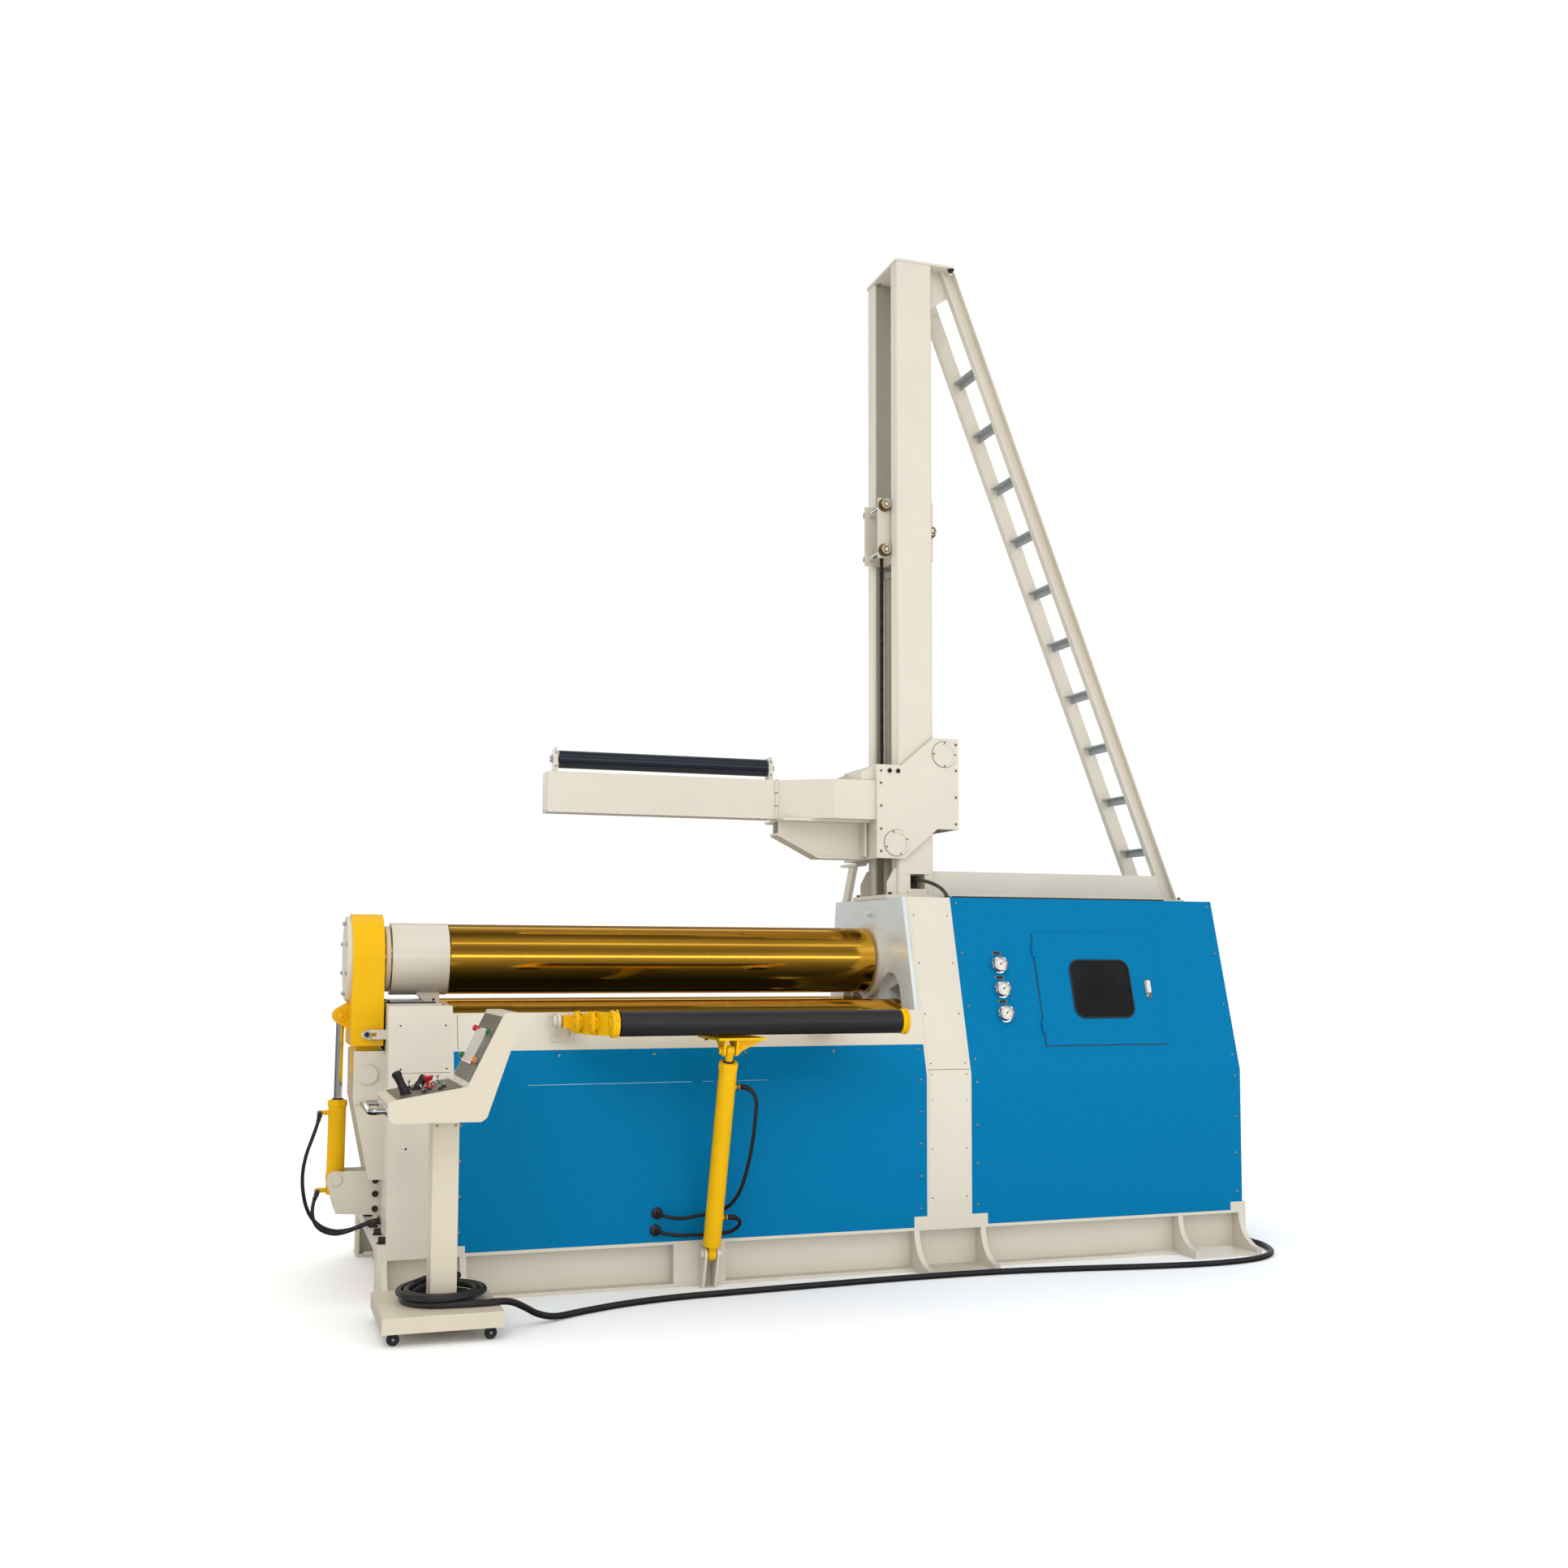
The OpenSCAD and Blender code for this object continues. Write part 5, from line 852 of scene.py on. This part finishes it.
def column_details():
    """Bolts of the column's feet, cap and rails, the conduit's grommet with a dark plate of painted shade in
    its hole, and a dark strip of painted shade under the hood beams.
    """
    bm = bmesh.new()
    hood, foot = HOOD_Z, HOOD_Z + 0.018
    for x in (1.105, 1.410):
        for y in (-0.212, 0.212):
            hexagon(bm, (x, y, foot), (0, 0, 1), 0.010, 0.012, 0)
    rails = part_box("ladder_brace")
    for side in (-1, 1):
        hexagon(bm, (rails[1].x - 0.014, side * 0.150, foot), (0, 0, 1), 0.009, 0.012, 0)
        # A dark strip along each hood beam's foot: painted shade under the flange.
        slab(bm, at((sum(HOOD_BEAM_X) / 2, side * 0.1772, hood + 0.009), (0, side, 0)),
             1.345, 0.016, 0.0012, 0.002, 1, 0.0004)
        hexagon(bm, (1.462, side * 0.190, CAP_LOW_Z), (0, 0, -1), 0.013, 0.016, 0)
        hexagon(bm, (1.180, side * 0.100, CAP_LOW_Z), (0, 0, -1), 0.009, 0.010, 2)
    for dx in (-0.04, 0.04):
        for z in (1.772, 1.860):
            screw(bm, (1.259 + dx * 1.35, -0.203, z), (0, -1, 0), 0.004, 2)
    # A dark plate at the back of the conduit's hole: painted shade.
    slab(bm, at((1.259, -0.1195, 1.826), (0, -1, 0)), 0.072, 0.066, 0.0015, 0.004, 1)
    disc(bm, at((1.262, -0.121, 1.836), (0, -1, 0)), [(17, 0), (17, 6), (13, 10), (10.5, 11)], 24, 3)
    disc(bm, at((1.350, -0.355, hood), (0, 0, 1)), [(22, 0), (22, 3), (15, 8), (10.5, 9)], 24, 3)
    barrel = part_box("hoist_cylinder")
    centre = (barrel[0] + barrel[1]) / 2
    # The gland ring on the barrel's top, in the barrel's dark olive: painted shade.
    disc(bm, at((centre.x, centre.y, barrel[1].z), (0, 0, 1)),
         [(76, -40), (80, -38), (80, -6), (76, 0), (34, 1), (33, 10), (22.5, 12), (20.3, 10)], 40, 4)
    return piece("column_details", "frame", bm, [DARK_BOLT, PAINTED_SHADE, ZINC, RUBBER, CYLINDER_PAINTED_SHADE])


def carriage_details():
    """Edge bolts, sockets, the ring covers' screws with a thin ring of painted shadow round each cover, and
    the arm's weld seams, on both sides.
    """
    bm = bmesh.new()
    for side in (-1, 1):
        y = side * CARRIAGE_Y
        for x, heights in ((1.052, (2.374, 2.313, 2.199, 2.084, 1.973)),
                           (1.460, (2.520, 2.388, 2.253, 2.117))):
            for z in heights:
                screw(bm, (x, y, z), (0, side, 0), 0.0062, 2)
        for x in (1.098, 1.143):
            disc(bm, at((x, y, 2.375), (0, side, 0)), [(11, 0), (11, 6), (9, 7), (6, 7), (6, 2), (0, 2)],
                 20, 0)
        for cx, cz in ((1.135, 2.015), (1.396, 2.469)):
            for k in range(4):
                a = math.pi / 2 * k + (0.0 if cx > 1.2 else 0.35)
                screw(bm, (cx + 0.0585 * math.cos(a), side * 0.232, cz + 0.0585 * math.sin(a)), (0, side, 0),
                      0.0045, 2)
            # A thin dark ring round each cover: a painted shadow line.
            disc(bm, at((cx, y, cz), (0, side, 0)), [(65, 0), (67.2, 0), (67.2, 0.6), (65, 0.6)], 64, 3)
        slab(bm, at((0.8085, side * 0.2096, BEAM_Z), (0, side, 0)), 0.011, 0.190, 0.0022, 0.004, 1, 0.001)
    return piece("carriage_details", "carriage", bm, [DARK_BOLT, BEIGE, BRASS, PAINTED_SHADE])


def swing_arm_details():
    """The overhead roller's bearing bolts, the hinge pins' heads and the arm's end plate."""
    bm = bmesh.new()
    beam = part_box("arm_swing_beam")
    for x in (-0.540, 0.540):
        for y in (-0.021, 0.021):
            hexagon(bm, (x, y, 2.435), (0, 0, 1), 0.006, 0.006, 0)
        for side in (-1, 1):
            screw(bm, (x, side * 0.030, 2.352), (0, side, 0), 0.006, 0)
            screw(bm, (x, side * 0.030, 2.418), (0, side, 0), 0.006, 0)
    for z in (2.190, 2.322):
        disc(bm, at((0.559, -0.062, z), (0, 0, 1)), [(6, 0), (6.5, 3), (4, 5), (0, 5)], 16, 0)
    slab(bm, at((beam[0].x, 0, BEAM_Z), (-1, 0, 0)), 0.176, 0.104, 0.003, 0.006, 1)
    return piece("swing_arm_details", "swing_arm", bm, [ZINC, BEIGE])


def roller_nuts():
    bm = bmesh.new()
    for side in (-1, 1):
        hexagon(bm, (side * 0.549, 0, 2.388), (side, 0, 0), 0.016, 0.016, 0)
    return piece("overhead_roller_nuts", "overhead_roller", bm, [ZINC])


def crosshead_details():
    """Chamfered bolt heads with their washers, and bright spacer tubes on the bolts between the plates."""
    bm = bmesh.new()
    for x, z in CROSSHEAD_PINS:
        for side in (-1, 1):
            m = at((x, side * 0.098, z), (0, side, 0))
            disc(bm, m, [(34, 0), (34, 4), (20, 5)], 36, 0)
            disc(bm, m, [(27.2, 4), (28.2, 6), (28.2, 24), (26.2, 31), (18, 35.5), (12, 36), (11, 32),
                         (0, 32)], 6, 0)
        disc(bm, at((x, -0.083, z), (0, 1, 0)), [(12.2, 0), (14.5, 0), (14.5, 166), (12.2, 166)], 28, 1)
    return piece("crosshead_bolts", "crosshead", bm, [BRASS, CHROME])


def chain():
    """The hoist's roller chain: up, over the sprocket and down, with its plates, pins and rollers."""
    bm = bmesh.new()
    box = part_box("hoist_chains")
    x0, x1 = box[0].x + 0.008, box[1].x - 0.008
    centre_x, radius, top_z = (x0 + x1) / 2, (x1 - x0) / 2, box[1].z - (x1 - x0) / 2 - 0.008
    low_left, low_right = 2.228, box[0].z + 0.008
    rise, arc = top_z - low_left, math.pi * radius
    total = rise + arc + top_z - low_right
    count = round(total / 0.038)

    def spot(distance):
        if distance < rise:
            return Vector((x0, 0, low_left + distance))
        if distance < rise + arc:
            a = math.pi - (distance - rise) / radius
            return Vector((centre_x + radius * math.cos(a), 0, top_z + radius * math.sin(a)))
        return Vector((x1, 0, top_z - (distance - rise - arc)))

    joints = [spot(min(total * k / count, total - 1e-4)) for k in range(count + 1)]
    link = []
    for k in range(12):
        a = math.pi / 5 * (k % 6) - math.pi / 2 if k < 6 else math.pi / 5 * (k - 6) + math.pi / 2
        link.append((0.007 * math.cos(a), 0.007 * math.sin(a), k < 6))
    for k, (a, b) in enumerate(zip(joints, joints[1:])):
        along = (b - a).normalized()
        turn = axes(along, Vector((0, 1, 0)).cross(along), Vector((0, 1, 0)))
        outer = 0.0072 if k % 2 else 0.0050
        outline = [(x + ((b - a).length if far else 0), y) for x, y, far in link]
        for side in (-1, 1):
            prism(bm, Matrix.Translation(a + Vector((0, side * outer - 0.001, 0))) @ turn, outline, 0.002, 0)
        disc(bm, at(a + Vector((0, -0.0095, 0)), (0, 1, 0)),
             [(0, 0), (3, 0), (3, 3.5), (5, 3.6), (5, 15.4), (3, 15.5), (3, 19), (0, 19)], 8)
    obj = piece("hoist_chain_run", "crosshead", bm, [CHAIN])
    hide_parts("hoist_chains")
    return obj


# ---- Cables and hoses ----


def smooth_route(points, steps):
    """A smooth curve through the points, as the part's source works it out."""
    points = [Vector(p) * MM for p in points]
    out = []
    for i in range(len(points) - 1):
        a, b, c, d = points[max(i - 1, 0)], points[i], points[i + 1], points[min(i + 2, len(points) - 1)]
        for k in range(steps):
            t = k / steps
            out.append(0.5 * ((2 * b) + (c - a) * t + (2 * a - 5 * b + 4 * c - d) * t ** 2
                              + (3 * b - a - 3 * c + d) * t ** 3))
    return out + [points[-1]]


def cable(name, points, diameter, replaced, exit_at, sheath=None, **facts):
    """A round cord on the points that stands for the CAD nodes."""
    curve = bpy.data.curves.new(name, "CURVE")
    curve.dimensions = "3D"
    curve.bevel_depth = diameter / 2 - 0.0009
    curve.bevel_resolution = 5
    curve.use_fill_caps = True
    spline = curve.splines.new("POLY")
    spline.points.add(len(points) - 1)
    for target, p in zip(spline.points, points):
        target.co = (*p, 1)
    spline.use_smooth = True
    obj = new_object(name, curve)
    curve.materials.append(sheath or CABLE)
    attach(obj, "frame")
    if replaced:
        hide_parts(*replaced)
    return obj


HOSE_D, COLUMN_CABLE_D, CABLE_D = 0.018, 0.020, 0.028
DROP_HOSE = [(-1586.8, -46.3, 741.8), (-1586.8, -51, 741.8), (-1586.8, -56, 741.8), (-1590, -90, 733),
             (-1598, -115, 708), (-1609, -125, 674), (-1624, -124, 630), (-1642, -119, 575),
             (-1654, -114, 515), (-1657, -110, 455), (-1651, -106, 395), (-1636, -103, 335),
             (-1607, -100, 282), (-1562, -98, 245), (-1508, -97, 228), (-1450, -96, 232),
             (-1400, -96, 248), (-1358, -96, 264), (-1320, -96, 270)]
DROP_LOW_HOSE = [(-1590.6, -46.3, 396), (-1590.6, -52, 396), (-1591, -60, 396), (-1596, -90, 388),
                 (-1606, -116, 368), (-1612, -128, 340), (-1612, -132, 308), (-1602, -132, 274),
                 (-1580, -131, 246), (-1548, -127, 228), (-1508, -123, 220), (-1462, -119, 227),
                 (-1412, -117, 244), (-1362, -117, 259), (-1320, -117, 263)]
SIDE_HOSE = [(98.3, -938.6, 890.7), (102, -938.6, 890.7), (107, -938.6, 890.7), (140, -940, 881),
             (164, -943, 857), (173, -946, 822), (171, -943, 770), (167, -930, 690), (160, -906, 600),
             (150, -872, 510), (138, -824, 430), (118, -768, 370), (84, -716, 334), (36, -690, 318),
             (-20, -686, 310), (-72, -697, 306), (-112, -703, 308), (-148, -694, 314), (-174, -671, 320),
             (-184, -640, 324)]
SIDE_LOW_HOSE = [(98.3, -768.1, 313), (102, -768.1, 313), (107, -768.1, 313), (139, -761, 307),
                 (162, -744, 292), (170, -720, 271), (162, -696, 250), (139, -679, 234), (106, -671, 228),
                 (60, -669, 226), (10, -671, 226), (-40, -680, 228), (-88, -697, 232), (-130, -703, 238),
                 (-165, -690, 244), (-185, -666, 249), (-191, -640, 251)]
FLOOR_CABLE = [(-1140, -1278, 124), (-1080, -1283, 124), (-1020, -1284, 124), (-966, -1277, 124),
               (-915, -1254, 113), (-860, -1218, 82), (-800, -1174, 44), (-720, -1120, 18),
               (-589, -1042, 14), (-400, -960, 14), (-170, -905, 14), (80, -881, 14), (520, -850, 14),
               (975, -826, 14), (1400, -830, 14), (1750, -872, 14), (2050, -922, 14), (2320, -955, 14),
               (2520, -955, 14), (2690, -925, 14), (2815, -860, 14), (2900, -765, 14), (2950, -650, 14),
               (2968, -560, 14), (2970, -500, 14), (2971, -441, 29), (2971, -399, 70), (2970, -383, 126),
               (2969, -366, 178), (2967, -348, 223), (2953, -331, 276), (2913, -316, 316),
               (2886, -311, 328), (2858, -310, 332)]
COLUMN_CABLE = [(1262, -117.3, 1836), (1262, -132, 1836), (1262, -150, 1836), (1264, -172, 1835.5),
                (1268, -194, 1834), (1274, -216, 1831), (1282, -238, 1827), (1292, -260, 1821),
                (1303, -281, 1813.5), (1315, -301, 1804), (1327, -319, 1792), (1337, -334, 1778),
                (1344, -345, 1764), (1348, -352, 1751), (1350, -355, 1740)]


def coil_turns():
    """The cable's turns on the tray: out of the post, over the coil, down and out at the front."""
    def spot(degrees, radius, height):
        return COIL_CENTRE + polar(radius, math.radians(degrees), height)

    stops = [(0, 0.052, 0.196), (25, 0.075, 0.196), (60, 0.118, 0.186), (95, 0.150, 0.172),
             (135, 0.163, 0.152), (200, 0.163, 0.149), (450, 0.163, 0.149), (530, 0.135, 0.149),
             (810, 0.135, 0.149), (880, 0.121, 0.126), (1150, 0.121, 0.124), (1230, 0.150, 0.124),
             (1340, 0.152, 0.124), (1360, 0.157, 0.124)]
    points = []
    for (a0, r0, z0), (a1, r1, z1) in zip(stops, stops[1:]):
        steps = max(1, round((a1 - a0) / 12))
        for k in range(steps):
            t = k / steps
            t_smooth = t * t * (3 - 2 * t)
            points.append(spot(a0 + (a1 - a0) * t, r0 + (r1 - r0) * t_smooth, z0 + (z1 - z0) * t_smooth))
    return points


def cords():
    """The hoses and the column's cable, then the console's cable from its coil to the cabinet."""
    for name, route, steps, nodes_for in (("drop_end_hose_run", DROP_HOSE, 4, ["drop_end_hose"]),
                                          ("drop_end_low_hose_run", DROP_LOW_HOSE, 4, []),
                                          ("side_hose_run", SIDE_HOSE, 4, ["side_hose"]),
                                          ("side_low_hose_run", SIDE_LOW_HOSE, 5, ["side_low_hose"])):
        points = smooth_route(route, steps)
        cable(name, points, HOSE_D, nodes_for, points[0], stiffness="stiff")
    points = smooth_route(COLUMN_CABLE, 3)
    cable("column_cable_run", points, COLUMN_CABLE_D, ["column_cable"], points[0], sheath=CONDUIT,
          stiffness="stiff")
    points = coil_turns() + smooth_route(FLOOR_CABLE, 4)
    cable("control_cable", points, CABLE_D, ["floor_cable", "cable_coil"], points[0], stiffness="stiff",
          with_pieces=["cable_gland"])


def hose_ends():
    """Crimped ferrules on each hose's first stretch, and grommets where the hoses enter the covers."""
    bm = bmesh.new()
    for route in (DROP_HOSE, DROP_LOW_HOSE, SIDE_HOSE, SIDE_LOW_HOSE):
        points = smooth_route(route, 4)
        sweep(bm, points[3:13], HOSE_D / 2 + 0.0025, 16, 0)
        sweep(bm, points[12:16], HOSE_D / 2 + 0.0008, 16, 1)
    for x, z in ((-0.184, 0.324), (-0.191, 0.251)):
        disc(bm, at((x, front_y(z), z), (0, -1, 0)), [(26, 0), (26, 4), (20, 10), (12, 13), (9.5, 13)], 28,
             1)
    for y, z in ((-0.096, 0.270), (-0.117, 0.263)):
        disc(bm, at((-1.320, y, z), (-1, 0, 0)), [(12.5, 0), (12.5, 4), (11, 10), (9.5, 11)], 24, 1)
    return piece("hose_ends", "frame", bm, [DARK_BOLT, RUBBER])


# ---- Light, floor and camera ----


def by_elevation(tree, bands, mirrored):
    """A grey ramp over the height of the direction above the horizon, in degrees.

    When mirrored, the height is that of the direction seen along X, the same in front and behind."""
    coords = add_node(tree, "TexCoord", {})
    split = add_node(tree, "SeparateXYZ", {0: coords.outputs["Generated"]})
    if mirrored:
        side = add_node(tree, "Math", {0: split.outputs["Y"]}, "ABSOLUTE")
        angle = add_node(tree, "Math", {0: split.outputs["Z"], 1: side.outputs[0]}, "ARCTAN2")
    else:
        angle = add_node(tree, "Math", {0: split.outputs["Z"]}, "ARCSINE")
    spread = add_node(tree, "MapRange", {"From Min": -math.pi / 2, "From Max": math.pi / 2,
                                         "Value": angle.outputs[0]})
    ramp = add_node(tree, "ValToRGB", {"Fac": spread.outputs["Result"]})
    elements = ramp.color_ramp.elements
    while len(elements) < len(bands):
        elements.new(0.5)
    for element, (degrees, value) in zip(elements, bands):
        element.position = (degrees + 90) / 180
        element.color = (value, value, value, 1)
    return ramp.outputs["Color"]


def light(tree, strength, colour=(1, 1, 1, 1)):
    return add_node(tree, "Background", {"Strength": strength, "Color": colour}).outputs[0]


UNDER_ROLLS = ("bottom_roll", "front_side_roll", "top_beams", "front_panel", "base_beams",
               "base_cross_beams")


def studio():
    """A pale floor, a soft sky, lamp-like bands that only gloss sees, and soft lamps."""
    scene = bpy.context.scene
    scene.view_settings.view_transform = "Standard"
    bm = bmesh.new()
    bmesh.ops.create_grid(bm, x_segments=1, y_segments=1, size=60)
    mesh = bpy.data.meshes.new("floor")
    bm.to_mesh(mesh)
    bm.free()
    floor = new_object("floor", mesh)
    floor.location.z = -0.0005
    floor.data.materials.append(material("pale_floor", (0.93, 0.93, 0.93), 0.8, specular=0.0, mottle=0.0))
    floor.visible_glossy = False

    world = bpy.data.worlds.new("studio")
    scene.world = world
    world.use_nodes = True
    tree = world.node_tree
    tree.nodes.clear()
    gloss = light(tree, 2.6, by_elevation(tree,
                                          [(-90, 0.004), (-72, 0.004), (-58, 0.008), (-46, 0.014),
                                           (-36, 0.025), (-26, 0.042), (-14, 0.075), (-3, 0.12), (6, 0.17),
                                           (8, 1.0), (11, 1.0), (13, 0.17), (22, 0.12), (30, 0.08),
                                           (42, 0.10), (50, 0.16), (52, 0.50), (55, 0.50), (57, 0.17),
                                           (68, 0.13), (78, 0.06), (90, 0.03)], True))
    sky = light(tree, 1.34, by_elevation(tree, [(-90, 0.5), (-5, 0.5), (0, 0.60), (30, 0.86),
                                                (90, 1.0)], False))
    rays = add_node(tree, "LightPath", {})
    mix = add_node(tree, "MixShader", {"Fac": rays.outputs["Is Glossy Ray"], 1: sky, 2: gloss})
    last = add_node(tree, "MixShader", {"Fac": rays.outputs["Is Camera Ray"], 1: mix.outputs[0],
                                        2: light(tree, 1.05)})
    add_node(tree, "OutputWorld", {"Surface": last.outputs[0]})

    for name, place, aim, size, power in (("key", (-3.5, -7.5, 7.0), (0.5, 0, 1.4), 3.0, 110),
                                          ("fill", (6.5, -6.5, 4.0), (1.2, 0, 1.5), 4.0, 35),
                                          ("low", (0.8, -6.5, 0.5), (0.8, 0, 0.5), 4.0, 75),
                                          ("back", (1.0, 7.0, 6.0), (0.5, 0, 1.8), 4.0, 80)):
        lamp = bpy.data.lights.new(name, "AREA")
        lamp.size = size
        lamp.energy = power
        lamp.specular_factor = 0.3
        obj = new_object(name, lamp)
        obj.location = place
        obj.rotation_euler = (Vector(aim) - Vector(place)).to_track_quat("-Z", "Y").to_euler()
        obj.visible_glossy = name == "key"
    for name in UNDER_ROLLS:
        nodes[name].visible_glossy = False


CAMERA_PLACE, CAMERA_TURN = (-1.968, -7.515, 1.444), (18.90, 4.06, 0.18)
LENS_MM, LENS_SHIFT = 36.57, (0.0019, 0.0386)


def camera():
    """The photograph's viewing angle: yaw towards +X, a slight upward pitch and roll."""
    yaw, pitch, roll = (math.radians(a) for a in CAMERA_TURN)
    forward = Vector((math.sin(yaw) * math.cos(pitch), math.cos(yaw) * math.cos(pitch), math.sin(pitch)))
    right = Vector((math.cos(yaw), -math.sin(yaw), 0))
    up = right.cross(forward)
    right_rolled = right * math.cos(roll) + up * math.sin(roll)
    up_rolled = up * math.cos(roll) - right * math.sin(roll)
    data = bpy.data.cameras.new("camera")
    data.sensor_width = 36
    data.lens = LENS_MM
    data.shift_x, data.shift_y = LENS_SHIFT
    data.clip_end = 200
    obj = new_object("camera", data)
    obj.matrix_world = Matrix.Translation(CAMERA_PLACE) @ axes(right_rolled, up_rolled, -forward)
    bpy.context.scene.camera = obj


camera()
cords()
hose_ends()
finish_nodes()
cover_screws()
cover_plates()
bend_highlight()
gauges()
door_fittings()
door_edge_shade()
console_controls()
console_trim()
casters()
housing_details()
drop_barrel_details()
stop_bracket()
stand_details()
roll_details()
lateral_details()
lateral_pin_caps()
side_barrel_details()
bracket_details()
column_details()
carriage_details()
swing_arm_details()
roller_nuts()
crosshead_details()
chain()
studio()
